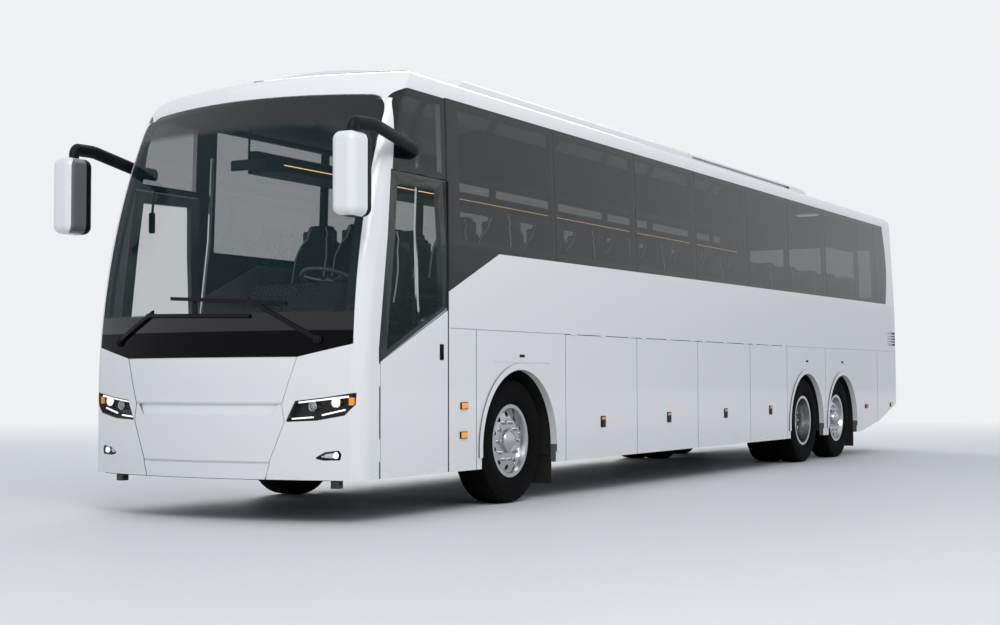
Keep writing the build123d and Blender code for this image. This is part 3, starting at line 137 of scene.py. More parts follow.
bpy.ops.object.select_all(action="DESELECT")
bpy.ops.mesh.primitive_plane_add(size=FLOOR_SIZE, location=(0, 0, 0))
floor = bpy.context.object
floor.name = "studio_floor"
floor_finish, nodes, links, shader = new_material("studio_floor", FLOOR_COLOUR, 0.55, specular=0.3)
where = add_node(nodes, "TexCoord")
reach = add_node(nodes, "VectorMath", operation="LENGTH")
fade = smooth_range(nodes, *FLOOR_FADE)
glow = add_node(nodes, "Emission", Color=SKY_SEEN)
floor_mix = add_node(nodes, "MixShader")
connect(links,
        (where.outputs["Object"], reach.inputs[0]),
        (reach.outputs["Value"], fade.inputs["Value"]),
        (fade.outputs[0], floor_mix.inputs["Fac"]),
        (shader.outputs[0], floor_mix.inputs[1]),
        (glow.outputs[0], floor_mix.inputs[2]),
        (floor_mix.outputs[0], nodes["Material Output"].inputs["Surface"]))
floor.data.materials.append(floor_finish)

# name, place, size across, power, colour
SOFT_LAMPS = (
    ("key_lamp", (9.5, -15, 12), 10, 1270, (1.0, 0.985, 0.96)),
    ("roof_lamp", (-2, 0, 14), 16, 120, (0.95, 0.975, 1.0)),
    ("rear_lamp", (-10, 14, 9), 10, 900, (1.0, 0.99, 0.97)),
)
LAMP_AIM = Vector((0, 0, 1.5))
for lamp_name, place, size, power, colour in SOFT_LAMPS:
    lamp_data = bpy.data.lights.new(lamp_name, "AREA")
    lamp_data.shape = "DISK"
    lamp_data.size = size
    lamp_data.energy = power
    lamp_data.color = colour
    lamp = bpy.data.objects.new(lamp_name, lamp_data)
    lamp.location = place
    lamp.rotation_euler = (LAMP_AIM - Vector(place)).to_track_quat("-Z", "Y").to_euler()
    scene.collection.objects.link(lamp)

# The camera: low beyond the front left corner, as the reference view was taken.
CAMERA_PLACE = (7.627, -16.012, 1.023)
CAMERA_TURN = radians(29.533)
CAMERA_TILT = radians(2.461)
CAMERA_ROLL = radians(-0.118)
CAMERA_LENS = 56.77
FAR_CLIP = 400
camera_data = bpy.data.cameras.new("camera")
camera_data.lens = CAMERA_LENS
camera_data.sensor_width = 36
camera_data.clip_end = FAR_CLIP
camera = bpy.data.objects.new("camera", camera_data)
camera.matrix_world = (Matrix.Translation(CAMERA_PLACE) @ Matrix.Rotation(CAMERA_TURN, 4, "Z")
                       @ Matrix.Rotation(pi / 2 + CAMERA_TILT, 4, "X") @ Matrix.Rotation(CAMERA_ROLL, 4, "Z"))
scene.collection.objects.link(camera)
scene.camera = camera


# Body panels: glass-fibre mouldings and steel sheet in white two-pack paint with a clear coat.
# Their inner faces are dark grey trim, and a light film of road dust lies low on the outside.
def new_group(name, inputs, outputs):
    """A shader group: inputs are (name, socket kind, value), outputs are (name, socket kind)."""
    group = bpy.data.node_groups.new(name, "ShaderNodeTree")
    for socket_name, kind, value in inputs:
        socket = group.interface.new_socket(socket_name, in_out="INPUT", socket_type=kind)
        socket.default_value = value
    for socket_name, kind in outputs:
        group.interface.new_socket(socket_name, in_out="OUTPUT", socket_type=kind)
    nodes = group.nodes
    return group, nodes, group.links, nodes.new("NodeGroupInput"), nodes.new("NodeGroupOutput")


def place_group(nodes, group, **values):
    """The group as a node, with underscores in the names of its inputs for spaces."""
    return add_node(nodes, "Group", node_tree=group, **values)


def dress(material, slot_name, *node_names):
    """Gives CAD nodes their finish."""
    for node_name in node_names:
        node = frame["nodes"][node_name]
        node.data.materials.clear()
        node.data.materials.append(material)


# Outer mask: one where a face looks away from the middle line of the cabin
CABIN_ENDS = (-5.2, 5.6)
CABIN_MIDDLE_Z = 1.9
outer_group, nodes, links, _, outer_out = new_group("outer_face", (), (("Mask", "NodeSocketFloat"),))
where = add_node(nodes, "TexCoord")
split_place = add_node(nodes, "SeparateXYZ")
along = add_node(nodes, "Clamp", Min=CABIN_ENDS[0], Max=CABIN_ENDS[1])
centre = add_node(nodes, "CombineXYZ", Z=CABIN_MIDDLE_Z)
away = add_node(nodes, "VectorMath", operation="SUBTRACT")
facing = add_node(nodes, "VectorMath", operation="DOT_PRODUCT")
surface = add_node(nodes, "NewGeometry")
is_outer = math_node(nodes, "GREATER_THAN", None, 0.0)
connect(links,
        (where.outputs["Object"], split_place.inputs[0]),
        (split_place.outputs["Y"], along.inputs["Value"]),
        (along.outputs[0], centre.inputs["Y"]),
        (where.outputs["Object"], away.inputs[0]),
        (centre.outputs[0], away.inputs[1]),
        (away.outputs[0], facing.inputs[0]),
        (surface.outputs["Normal"], facing.inputs[1]),
        (facing.outputs["Value"], is_outer.inputs[0]),
        (is_outer.outputs[0], outer_out.inputs["Mask"]))

# Road film: dust that thins out with height, broken up by soft noise
film_group, nodes, links, film_in, film_out = new_group(
    "road_film",
    (("Clean", "NodeSocketColor", (0.8, 0.8, 0.8, 1)), ("Dust", "NodeSocketColor", (0.42, 0.39, 0.35, 1)),
     ("Top", "NodeSocketFloat", 0.9), ("Amount", "NodeSocketFloat", 0.2),
     ("Smooth", "NodeSocketFloat", 0.2), ("Rough", "NodeSocketFloat", 0.6)),
    (("Color", "NodeSocketColor"), ("Roughness", "NodeSocketFloat")))
where = add_node(nodes, "TexCoord")
split_place = add_node(nodes, "SeparateXYZ")
streaks = add_node(nodes, "TexNoise", Scale=0.9, Detail=2)
height_share = math_node(nodes, "DIVIDE")
low_share = math_node(nodes, "SUBTRACT", 1.0, clamped=True)
patchy = math_node(nodes, "MULTIPLY")
dusted = math_node(nodes, "MULTIPLY", clamped=True)
film_colour = add_node(nodes, "Mix", data_type="RGBA")
film_rough = add_node(nodes, "Mix")
connect(links,
        (where.outputs["Object"], split_place.inputs[0]),
        (where.outputs["Object"], streaks.inputs["Vector"]),
        (split_place.outputs["Z"], height_share.inputs[0]),
        (film_in.outputs["Top"], height_share.inputs[1]),
        (height_share.outputs[0], low_share.inputs[1]),
        (low_share.outputs[0], patchy.inputs[0]),
        (streaks.outputs["Fac"], patchy.inputs[1]),
        (patchy.outputs[0], dusted.inputs[0]),
        (film_in.outputs["Amount"], dusted.inputs[1]),
        (dusted.outputs[0], film_colour.inputs["Factor"]),
        (film_in.outputs["Clean"], film_colour.inputs["A"]),
        (film_in.outputs["Dust"], film_colour.inputs["B"]),
        (dusted.outputs[0], film_rough.inputs["Factor"]),
        (film_in.outputs["Smooth"], film_rough.inputs["A"]),
        (film_in.outputs["Rough"], film_rough.inputs["B"]),
        (film_colour.outputs["Result"], film_out.inputs["Color"]),
        (film_rough.outputs["Result"], film_out.inputs["Roughness"]))

# Fine relief: noise as a bump, for paint's orange peel, moulded grain and cast skin
relief_group, nodes, links, relief_in, relief_out = new_group(
    "fine_relief",
    (("Scale", "NodeSocketFloat", 200.0), ("Height", "NodeSocketFloat", 0.001)),
    (("Normal", "NodeSocketVector"), ("Grain", "NodeSocketFloat")))
where = add_node(nodes, "TexCoord")
grain = add_node(nodes, "TexNoise", Detail=3)
bump = add_node(nodes, "Bump", Strength=1.0)
connect(links,
        (where.outputs["Object"], grain.inputs["Vector"]),
        (relief_in.outputs["Scale"], grain.inputs["Scale"]),
        (relief_in.outputs["Height"], bump.inputs["Distance"]),
        (grain.outputs["Fac"], bump.inputs["Height"]),
        (bump.outputs["Normal"], relief_out.inputs["Normal"]),
        (grain.outputs["Fac"], relief_out.inputs["Grain"]))


def grained(name, colour, roughness, scale, height, **finish):
    """A material of one colour with fine relief."""
    material, nodes, links, shader = new_material(name, colour, roughness, **finish)
    relief = place_group(nodes, relief_group, Scale=scale, Height=height)
    links.new(relief.outputs["Normal"], shader.inputs["Normal"])
    return material


def dusty(material, **film_values):
    """Lays road film over the base colour and the gloss of a material."""
    nodes, links = material.node_tree.nodes, material.node_tree.links
    shader = nodes["Principled BSDF"]
    film = place_group(nodes, film_group, **film_values)
    connect(links,
            (film.outputs["Color"], shader.inputs["Base Color"]),
            (film.outputs["Roughness"], shader.inputs["Roughness"]))
    return material


WHITE_PAINT = (0.80, 0.805, 0.815)
CABIN_TRIM = (0.13, 0.133, 0.14, 1)
paint = dusty(grained("white_paint", WHITE_PAINT, 0.28, 9.0, 0.0002, coat=0.5),
              Clean=(*WHITE_PAINT, 1), Top=0.8, Amount=0.14, Smooth=0.26)
nodes, links = paint.node_tree.nodes, paint.node_tree.links
shader = nodes["Principled BSDF"]
mask = place_group(nodes, outer_group)
skin = add_node(nodes, "Mix", data_type="RGBA", A=CABIN_TRIM)
connect(links,
        (mask.outputs["Mask"], skin.inputs["Factor"]),
        (shader.inputs["Base Color"].links[0].from_socket, skin.inputs["B"]),
        (skin.outputs["Result"], shader.inputs["Base Color"]))
panel_nodes = [row["node"] for row in frame["record"]["subparts"]
               if row["material_slot"] == "white_paint" and not row["node"].startswith("door")]
dress(paint, "white_paint", *panel_nodes)

# Front doors: framed panels in the same paint. Above the slanting foot of the bonded glass the
# frame is black, so that the pane and its frame look like one.
DOOR_SLANT = 0.457
# place along, height
DOOR_SLANT_START = (-6.612, 1.13)
FRAME_BLACK = (0.01, 0.01, 0.011, 1)
door_paint = paint.copy()
door_paint.name = "door_paint"
nodes, links = door_paint.node_tree.nodes, door_paint.node_tree.links
shader = nodes["Principled BSDF"]
where = add_node(nodes, "TexCoord")
split_place = add_node(nodes, "SeparateXYZ")
foot_line = math_node(nodes, "MULTIPLY_ADD", None, -DOOR_SLANT, DOOR_SLANT * DOOR_SLANT_START[0])
over_foot = math_node(nodes, "ADD")
is_frame = math_node(nodes, "GREATER_THAN", None, DOOR_SLANT_START[1] - 0.002)
door_skin = add_node(nodes, "Mix", data_type="RGBA", B=FRAME_BLACK)
connect(links,
        (where.outputs["Object"], split_place.inputs[0]),
        (split_place.outputs["Y"], foot_line.inputs[0]),
        (foot_line.outputs[0], over_foot.inputs[0]),
        (split_place.outputs["Z"], over_foot.inputs[1]),
        (over_foot.outputs[0], is_frame.inputs[0]),
        (is_frame.outputs[0], door_skin.inputs["Factor"]),
        (shader.inputs["Base Color"].links[0].from_socket, door_skin.inputs["A"]),
        (door_skin.outputs["Result"], shader.inputs["Base Color"]))
dress(door_paint, "white_paint", "door_left", "door_right")

# Glazing: green-grey laminated glass in front and dark tinted double glazing along the sides,
# bonded over black frames. The windscreen's printed black edge hides the adhesive, and a shade
# band fades in under its head.
PRINT_BLACK = (0.003, 0.003, 0.004, 1)
PRINT_BLEND = 0.012
# heights beside the band's edge where its shade starts and where it is full
SHADE_FADE = (-0.03, 0.05)
SHADE_DEPTH = 0.95
GLARE_SHARE = 0.9


def new_glass(name, colour, clearness, edge_low=None, edge_high=None):
    """Tinted glass that lets light through, with a black print under one height and a shade
    band over another."""
    material, nodes, links, shader = new_material(name, colour, 0.02)
    shader.inputs["IOR"].default_value = 1.5
    fresnel = add_node(nodes, "Fresnel", IOR=1.6)
    gloss = math_node(nodes, "MULTIPLY_ADD", None, GLARE_SHARE, 1.0 - clearness, clamped=True)
    geometry = add_node(nodes, "NewGeometry")
    facing = math_node(nodes, "SUBTRACT", 1.0)
    seen = math_node(nodes, "MULTIPLY")
    alpha = gloss
    if edge_low is not None:
        where = add_node(nodes, "TexCoord")
        split_place = add_node(nodes, "SeparateXYZ")
        below = add_node(nodes, "MapRange", From_Min=edge_low + PRINT_BLEND, From_Max=edge_low - PRINT_BLEND)
        above = add_node(nodes, "MapRange", From_Min=edge_high + SHADE_FADE[0],
                         From_Max=edge_high + SHADE_FADE[1], To_Max=SHADE_DEPTH)
        band = math_node(nodes, "MAXIMUM")
        alpha = math_node(nodes, "MAXIMUM")
        tint = add_node(nodes, "Mix", data_type="RGBA", A=(*colour, 1), B=PRINT_BLACK)
        connect(links,
                (where.outputs["Object"], split_place.inputs[0]),
                (split_place.outputs["Z"], below.inputs["Value"]),
                (split_place.outputs["Z"], above.inputs["Value"]),
                (below.outputs[0], band.inputs[0]),
                (above.outputs[0], band.inputs[1]),
                (band.outputs[0], alpha.inputs[0]),
                (gloss.outputs[0], alpha.inputs[1]),
                (band.outputs[0], tint.inputs["Factor"]),
                (tint.outputs["Result"], shader.inputs["Base Color"]))
    connect(links,
            (fresnel.outputs[0], gloss.inputs[0]),
            (geometry.outputs["Backfacing"], facing.inputs[1]),
            (alpha.outputs[0], seen.inputs[0]),
            (facing.outputs[0], seen.inputs[1]),
            (seen.outputs[0], shader.inputs["Alpha"]))
    return material


screen_glass = new_glass("screen_glass", (0.012, 0.050, 0.055), 0.80, edge_low=1.52, edge_high=2.92)
side_glass = new_glass("side_glass", (0.007, 0.009, 0.012), 0.38)
door_glass = new_glass("door_glass", (0.012, 0.035, 0.036), 0.82)
dress(screen_glass, "screen_glass", "windscreen")
dress(side_glass, "tinted_glass", "cabin_glass")
dress(door_glass, "tinted_glass", "door_left_glass", "door_right_glass")

# Black parts: the gloss cowl under the windscreen, matt window frames behind the glass,
# moulded mirror arms, wiper arms and rubber-lined wheel arches.
gloss_black = grained("gloss_black", (0.002, 0.002, 0.003), 0.08, 6.0, 0.0006, specular=0.08)
satin_black = grained("satin_black", (0.004, 0.004, 0.005), 0.45, 420.0, 0.0004, specular=0.18)
arch_black = dusty(grained("arch_black", (0.01, 0.01, 0.01), 0.85, 160.0, 0.002, specular=0.15),
                   Clean=(0.009, 0.009, 0.009, 1), Dust=(0.12, 0.11, 0.095, 1),
                   Top=1.0, Amount=0.3, Smooth=0.75, Rough=0.95)
dress(gloss_black, "black_trim", "wiper_cowl")
dress(satin_black, "black_trim", "window_frames", "mirror_arms", "wipers")
dress(arch_black, "black_trim", "wheel_liners")

# Round the pane over each front door the frame is also the outer skin, and white. Where glass
# lies just in front of a face, the face stays black.
# first and last place along, lowest height
DOOR_HEAD_ZONE = (-6.70, -5.65, 2.56)
OFF_THE_FACE = 0.0005
GLASS_WITHIN = 0.02
frames = frame["nodes"]["window_frames"]
frames.data.materials.append(paint)
for face in frames.data.polygons:
    middle, outward = face.center, face.normal
    in_zone = DOOR_HEAD_ZONE[0] < middle.y < DOOR_HEAD_ZONE[1] and middle.z > DOOR_HEAD_ZONE[2]
    if in_zone and (outward.x * middle.x > 0.1 or outward.y < -0.3 or outward.z > 0.3):
        start = middle + outward * OFF_THE_FACE
        covered = any(frame["nodes"][pane].ray_cast(start, outward, distance=GLASS_WITHIN)[0]
                      for pane in ("cabin_glass", "windscreen"))
        face.material_index = 0 if covered else 1

# Chassis: rails, axles and knuckles in black chassis paint with road dust, a cast engine block
# and rubber bellows that the frame rides on.
chassis_steel = dusty(grained("chassis_steel", (0.03, 0.03, 0.032), 0.5, 60.0, 0.0012),
                      Clean=(0.026, 0.026, 0.028, 1), Dust=(0.2, 0.18, 0.155, 1),
                      Top=1.5, Amount=0.55, Smooth=0.45, Rough=0.9)
engine_iron = grained("engine_iron", (0.11, 0.11, 0.115), 0.6, 90.0, 0.003, metallic=0.4)
bellows_rubber = grained("bellows_rubber", (0.018, 0.018, 0.019), 0.8, 140.0, 0.001)
dress(chassis_steel, "frame_steel", "underframe", "front_axle", "drive_axle", "tag_axle",
      "knuckle_left", "knuckle_right", "door_arms")
dress(engine_iron, "engine_iron", "engine_block")
dress(bellows_rubber, "bellows_rubber", "air_springs")

# Inside: speckled vinyl floor, grained dashboard and racks, a leather-bound steering wheel whose lighter grey
# is a painted highlight on its rim, and woven seats.
floor_vinyl, nodes, links, shader = new_material("floor_vinyl", (0.07, 0.072, 0.078), 0.5, specular=0.2)
relief = place_group(nodes, relief_group, Scale=700.0, Height=0.0003)
speckle = add_node(nodes, "Mix", data_type="RGBA", A=(0.045, 0.047, 0.052, 1), B=(0.12, 0.122, 0.13, 1))
connect(links,
        (relief.outputs["Grain"], speckle.inputs["Factor"]),
        (speckle.outputs["Result"], shader.inputs["Base Color"]),
        (relief.outputs["Normal"], shader.inputs["Normal"]))
dash_plastic = grained("dash_plastic", (0.009, 0.010, 0.012), 0.6, 520.0, 0.00002, specular=0.15)
# The steering wheel is a lighter grey than its black leather: painted highlight along the rim.
rim_leather_highlight = grained("rim_leather_highlight", (0.07, 0.072, 0.075), 0.4, 300.0, 0.0001)
seat_cloth = grained("seat_cloth", (0.024, 0.026, 0.030), 0.9, 900.0, 0.0008, specular=0.15)
dress(floor_vinyl, "floor_vinyl", "floor", "luggage_hold")
dress(dash_plastic, "dash_plastic", "dashboard", "luggage_racks")
dress(rim_leather_highlight, "dash_plastic", "steering_wheel")
dress(seat_cloth, "seat_fabric", "crew_seats", "passenger_seats")

# Wheels: forged aluminium, turned and polished, which leaves a faint grain. The tyres fitted on
# them are black rubber with a dull skin.
wheel_alloy = grained("wheel_alloy", (0.50, 0.505, 0.52), 0.2, 35.0, 0.0004, metallic=1.0)
tyre_rubber = grained("tyre_rubber", (0.003, 0.003, 0.0035), 0.8, 300.0, 0.0006, specular=0.07)
wheel_nodes = [row["node"] for row in frame["record"]["subparts"] if row["material_slot"] == "wheel_alloy"]
tyre_nodes = [row["node"] for row in frame["record"]["subparts"] if row["material_slot"] == "tyre_rubber"]
dress(wheel_alloy, "wheel_alloy", *wheel_nodes)
dress(tyre_rubber, "tyre_rubber", *tyre_nodes)

# Lamp units: dark moulded housings under clear acrylic covers in front, and upright units of
# red acrylic let into the tail.
lamp_dark = new_material("lamp_dark", (0.008, 0.008, 0.009), 0.25, specular=0.3)[0]
lamp_red = new_material("lamp_red", (0.35, 0.008, 0.008), 0.12, coat=0.6)[0]
dress(lamp_dark, "lamp_housing", "headlamps")
dress(lamp_red, "lamp_red", "tail_lamps")

lamp_cover = new_glass("lamp_cover", (0.10, 0.105, 0.11), 0.97)
dress(lamp_cover, "lamp_clear", "headlamp_covers")


# Tyres: black truck rubber with four straight grooves, notched shoulders and a raised rim on
# each wall. One tyre is turned ring by ring and copied to the eight places.
def add_piece(primitive, name, **size):
    """Adds a primitive with nothing else selected, and sets its place into its mesh."""
    bpy.ops.object.select_all(action="DESELECT")
    primitive(**size)
    piece = bpy.context.object
    piece.name = name
    bpy.ops.object.transform_apply(location=True, rotation=True, scale=True)
    return piece


def choose_faces(piece, test):
    """Selects in edit mode the faces whose middle and normal pass the test."""
    bpy.ops.mesh.select_mode(type="FACE")
    bpy.ops.mesh.select_all(action="DESELECT")
    mesh = bmesh.from_edit_mesh(piece.data)
    for face in mesh.faces:
        if test(face.calc_center_median(), face.normal):
            face.select_set(True)
    bmesh.update_edit_mesh(piece.data)


def turned_piece(name, profile, sides):
    """A line of (place along X, radius) turned about the X axis, ring by ring, and closed."""
    piece = add_piece(bpy.ops.mesh.primitive_circle_add, name, vertices=sides, radius=profile[0][1],
                      rotation=(0, pi / 2, 0), location=(profile[0][0], 0, 0))
    bpy.ops.object.mode_set(mode="EDIT")
    bpy.ops.mesh.select_mode(type="VERT")
    bpy.ops.mesh.select_all(action="SELECT")
    for (x0, r0), (x1, r1) in zip(profile, profile[1:]):
        bpy.ops.mesh.extrude_region_move(TRANSFORM_OT_translate={"value": (x1 - x0, 0, 0)})
        bpy.ops.transform.resize(value=(1, r1 / r0, r1 / r0), center_override=(x1, 0, 0))
    bpy.ops.mesh.select_all(action="SELECT")
    bpy.ops.mesh.remove_doubles(threshold=0.00002)
    bpy.ops.mesh.normals_make_consistent(inside=False)
    bpy.ops.object.mode_set(mode="OBJECT")
    return piece


def copy_piece(piece, move):
    """A copy with its own mesh, moved, turned or mirrored."""
    copy = piece.copy()
    copy.data = piece.data.copy()
    copy.data.transform(move)
    if move.determinant() < 0:
        copy.data.flip_normals()
    scene.collection.objects.link(copy)
    return copy


def join_pieces(name, pieces):
    bpy.ops.object.select_all(action="DESELECT")
    for piece in pieces:
        piece.select_set(True)
    bpy.context.view_layer.objects.active = pieces[0]
    bpy.ops.object.join()
    pieces[0].name = name
    return pieces[0]


def fit(piece, body, material, smooth=35):
    """Gives a piece its finish and lets it move with its body."""
    bpy.ops.object.select_all(action="DESELECT")
    piece.select_set(True)
    bpy.context.view_layer.objects.active = piece
    bpy.ops.object.shade_smooth_by_angle(angle=radians(smooth))
    piece.data.materials.clear()
    piece.data.materials.append(material)
    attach(piece, body)


WHEEL_Z = 0.518
FRONT_Y = -4.475
DRIVE_Y = 2.965
TAG_Y = 4.365
# wheel, places across, place along
WHEEL_PLACES = (("front", (1.068,), FRONT_Y), ("drive", (1.085, 0.755), DRIVE_Y), ("tag", (1.068,), TAG_Y))
TYRE_SIDES = 144
NOTCH_EVERY = 4
NOTCH_DEPTH = 0.005
SHOULDER_X = (0.112, 0.1305)
SHOULDER_RADIUS = 0.49
wall_line = ((0.112, 0.2885), (0.119, 0.306), (0.128, 0.322), (0.131, 0.334), (0.137, 0.338),
             (0.1385, 0.346), (0.1425, 0.372), (0.1445, 0.400), (0.1425, 0.440), (0.1405, 0.452),
             (0.1385, 0.454), (0.1365, 0.470), (0.134, 0.487), (0.130, 0.500), (0.123, 0.5085),
             (0.110, 0.5135))
groove_line = ((0.0755, 0.5165), (0.0735, 0.504), (0.0665, 0.504), (0.0645, 0.5172),
               (0.0295, 0.5178), (0.0275, 0.505), (0.0205, 0.505), (0.0185, 0.518))
half_line = wall_line + groove_line
tyre_line = ([(-x, r) for x, r in half_line] + [(x, r) for x, r in reversed(half_line)]
             + [(-half_line[0][0], half_line[0][1])])
tyre_form = turned_piece("tyre_form", tyre_line, TYRE_SIDES)
bpy.ops.object.mode_set(mode="EDIT")
choose_faces(tyre_form, lambda middle, normal: SHOULDER_X[0] < abs(middle.x) < SHOULDER_X[1]
             and hypot(middle.y, middle.z) > SHOULDER_RADIUS
             and int((atan2(middle.z, middle.y) + pi) / (2 * pi) * TYRE_SIDES) % NOTCH_EVERY == 0)
bpy.ops.mesh.extrude_region_shrink_fatten(TRANSFORM_OT_shrink_fatten={"value": -NOTCH_DEPTH})
bpy.ops.object.mode_set(mode="OBJECT")
for wheel_name, across, along in WHEEL_PLACES:
    for side_name, side in (("left", 1), ("right", -1)):
        tyres = [copy_piece(tyre_form, Matrix.Translation((side * x, along, WHEEL_Z))) for x in across]
        tyre = join_pieces(f"treaded_tyre_{wheel_name}_{side_name}", tyres)
        fit(tyre, f"wheel_{wheel_name}_{side_name}", tyre_rubber, smooth=28)
        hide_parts(f"tyre_{wheel_name}_{side_name}")
bpy.data.objects.remove(tyre_form)

# Wheel fittings: domed nuts on flanges, a collar round the hub and a bent valve, all bright,
# and the rusty brake drum that shows through the hand holes.
NUT_CIRCLE = 0.160
NUT_COUNT = 10
WHEEL_FACE_X = 0.0915
DRIVE_HUB_X = 0.9715
# place along the axle, distance from it
VALVE_LINE = ((0.06, 0.238), (0.085, 0.243), (0.105, 0.256), (0.123, 0.262))
VALVE_RADIUS = 0.0042


def about_axle(share):
    return Matrix.Rotation(2 * pi * share, 4, "X")


def tube(name, points, radius, roundness=1):
    """A round bar from point to point, closed at its ends."""
    curve = bpy.data.curves.new(name, "CURVE")
    curve.dimensions = "3D"
    curve.bevel_depth = radius
    curve.bevel_resolution = roundness
    curve.use_fill_caps = True
    spline = curve.splines.new("POLY")
    spline.points.add(len(points) - 1)
    for point, place in zip(spline.points, points):
        point.co = (*place, 1)
    piece = bpy.data.objects.new(name, curve)
    scene.collection.objects.link(piece)
    bpy.ops.object.select_all(action="DESELECT")
    piece.select_set(True)
    bpy.context.view_layer.objects.active = piece
    bpy.ops.object.convert(target="MESH")
    return piece


nut_form = turned_piece("nut_form", ((-0.001, 0.021), (0.004, 0.021), (0.006, 0.0165), (0.0255, 0.0165),
                                     (0.0285, 0.0135), (0.0315, 0.008), (0.032, 0.0005)), 18)
nuts = [copy_piece(nut_form, about_axle((step + 0.5) / NUT_COUNT)
                   @ Matrix.Translation((WHEEL_FACE_X, 0, NUT_CIRCLE)))
        for step in range(NUT_COUNT)]
bpy.data.objects.remove(nut_form)
collar = turned_piece("collar", ((WHEEL_FACE_X, 0.131), (0.0945, 0.130), (0.0955, 0.124), (0.0935, 0.104),
                                 (0.117, 0.0985), (0.1225, 0.095), (0.1235, 0.0885), (0.1195, 0.0845),
                                 (0.1195, 0.08)), 64)
valve = tube("valve", [(along_x, 0, radius) for along_x, radius in VALVE_LINE], VALVE_RADIUS, 3)
fittings_form = join_pieces("fittings_form", [collar, *nuts, valve])
drum_form = turned_piece("drum_form", ((-0.03, 0.12), (-0.03, 0.205), (0.03, 0.205), (0.052, 0.196),
                                       (0.056, 0.12)), 48)
drum_iron = grained("drum_iron", (0.05, 0.035, 0.028), 0.85, 70.0, 0.002)
for wheel_name, across, along in WHEEL_PLACES:
    for side_name, side in (("left", 1), ("right", -1)):
        hub_x = DRIVE_HUB_X if wheel_name == "drive" else across[0]
        place = Matrix.Translation((side * hub_x, along, WHEEL_Z)) @ Matrix.Scale(side, 4, (1, 0, 0))
        body = f"wheel_{wheel_name}_{side_name}"
        fittings = copy_piece(fittings_form, place)
        fittings.name = f"fittings_{wheel_name}_{side_name}"
        fit(fittings, body, wheel_alloy)
        if wheel_name != "drive":
            drum = copy_piece(drum_form, place)
            drum.name = f"drum_{wheel_name}_{side_name}"
            fit(drum, body, drum_iron)
bpy.data.objects.remove(fittings_form)
bpy.data.objects.remove(drum_form)

# Lamps in front: two round lenses in dark housings with bright strips over and under them, an
# amber indicator at the outer end, and a round fog lamp with a silver wedge lower down.
NOSE_TIP_Y = -7.005
NOSE_RADIUS = 3.6
FRONT_HALF = 1.181
CORNER_RADIUS = 0.14
# across, distance behind the nose's tip
CORNER_MIDDLE = (1.135, 0.3315)


def nose_place(x, z, inside):
    """A point behind the skin of the upright lower nose."""
    if abs(x) < FRONT_HALF:
        y = NOSE_RADIUS - (NOSE_RADIUS ** 2 - x ** 2) ** 0.5
    else:
        y = CORNER_MIDDLE[1] - (CORNER_RADIUS ** 2 - (abs(x) - CORNER_MIDDLE[0]) ** 2) ** 0.5
    return Vector((x, NOSE_TIP_Y + y + inside, z))


def bar_along(name, points, depth, height):
    """A bar of even section that runs from point to point."""
    piece = add_piece(bpy.ops.mesh.primitive_plane_add, name, size=1, rotation=(0, pi / 2, 0))
    piece.data.transform(Matrix.Translation(points[0]) @ Matrix.Diagonal((1, depth, height, 1)))
    bpy.ops.object.mode_set(mode="EDIT")
    bpy.ops.mesh.select_all(action="SELECT")
    for start, end in zip(points, points[1:]):
        bpy.ops.mesh.extrude_region_move(TRANSFORM_OT_translate={"value": end - start})
    bpy.ops.mesh.select_all(action="SELECT")
    bpy.ops.mesh.normals_make_consistent(inside=False)
    bpy.ops.object.mode_set(mode="OBJECT")
    return piece


def glowing(name, colour, strength, roughness=0.3):
    material, _, _, shader = new_material(name, colour, roughness)
    shader.inputs["Emission Color"].default_value = (*colour, 1)
    shader.inputs["Emission Strength"].default_value = strength
    return material


def rounded_block(name, middle, size, bevel, segments=2):
    piece = add_piece(bpy.ops.mesh.primitive_cube_add, name, size=1, location=middle, scale=size)
    bpy.ops.object.mode_set(mode="EDIT")
    bpy.ops.mesh.select_all(action="SELECT")
    bpy.ops.mesh.bevel(offset=bevel, segments=segments, affect="EDGES")
    bpy.ops.object.mode_set(mode="OBJECT")
    return piece


def both_sides(piece):
    return [piece, copy_piece(piece, Matrix.Scale(-1, 4, (1, 0, 0)))]


def fit_coach(name, pieces, material):
    """Joins pieces that stay on the coach's body."""
    fit(join_pieces(name, pieces), "coach", material)


lamp_white = glowing("lamp_white", (1.0, 1.0, 1.0), 1.0)
lamp_amber = glowing("lamp_amber", (0.95, 0.30, 0.02), 0.35)
lamp_chrome = new_material("lamp_chrome", (0.75, 0.76, 0.78), 0.12, metallic=1.0)[0]
lens_glass = new_material("lens_glass", (0.32, 0.34, 0.37), 0.03, coat=1.0)[0]
# first point across and up, last point across and up, how far behind the skin, height
LAMP_STRIPS = ((0.806, 0.868, 1.165, 0.909, 0.022, 0.013), (0.748, 0.750, 0.905, 0.762, 0.034, 0.010),
               (0.972, 0.777, 1.135, 0.815, 0.034, 0.010))
STRIP_STEPS = 6
STRIP_DEPTH = 0.012
strips = []
for x0, z0, x1, z1, inside, height in LAMP_STRIPS:
    line = [nose_place(x0 + (x1 - x0) * step / STRIP_STEPS, z0 + (z1 - z0) * step / STRIP_STEPS, inside)
            for step in range(STRIP_STEPS + 1)]
    strips += both_sides(bar_along("lamp_strip", line, STRIP_DEPTH, height))
fit_coach("lamp_strips", strips, lamp_white)
amber_line = [nose_place(x, 0.875, 0.03) for x in (1.168, 1.18, 1.192, 1.204)]
indicators = both_sides(bar_along("indicator", amber_line, 0.02, 0.055))
fit_coach("indicators", indicators, lamp_amber)
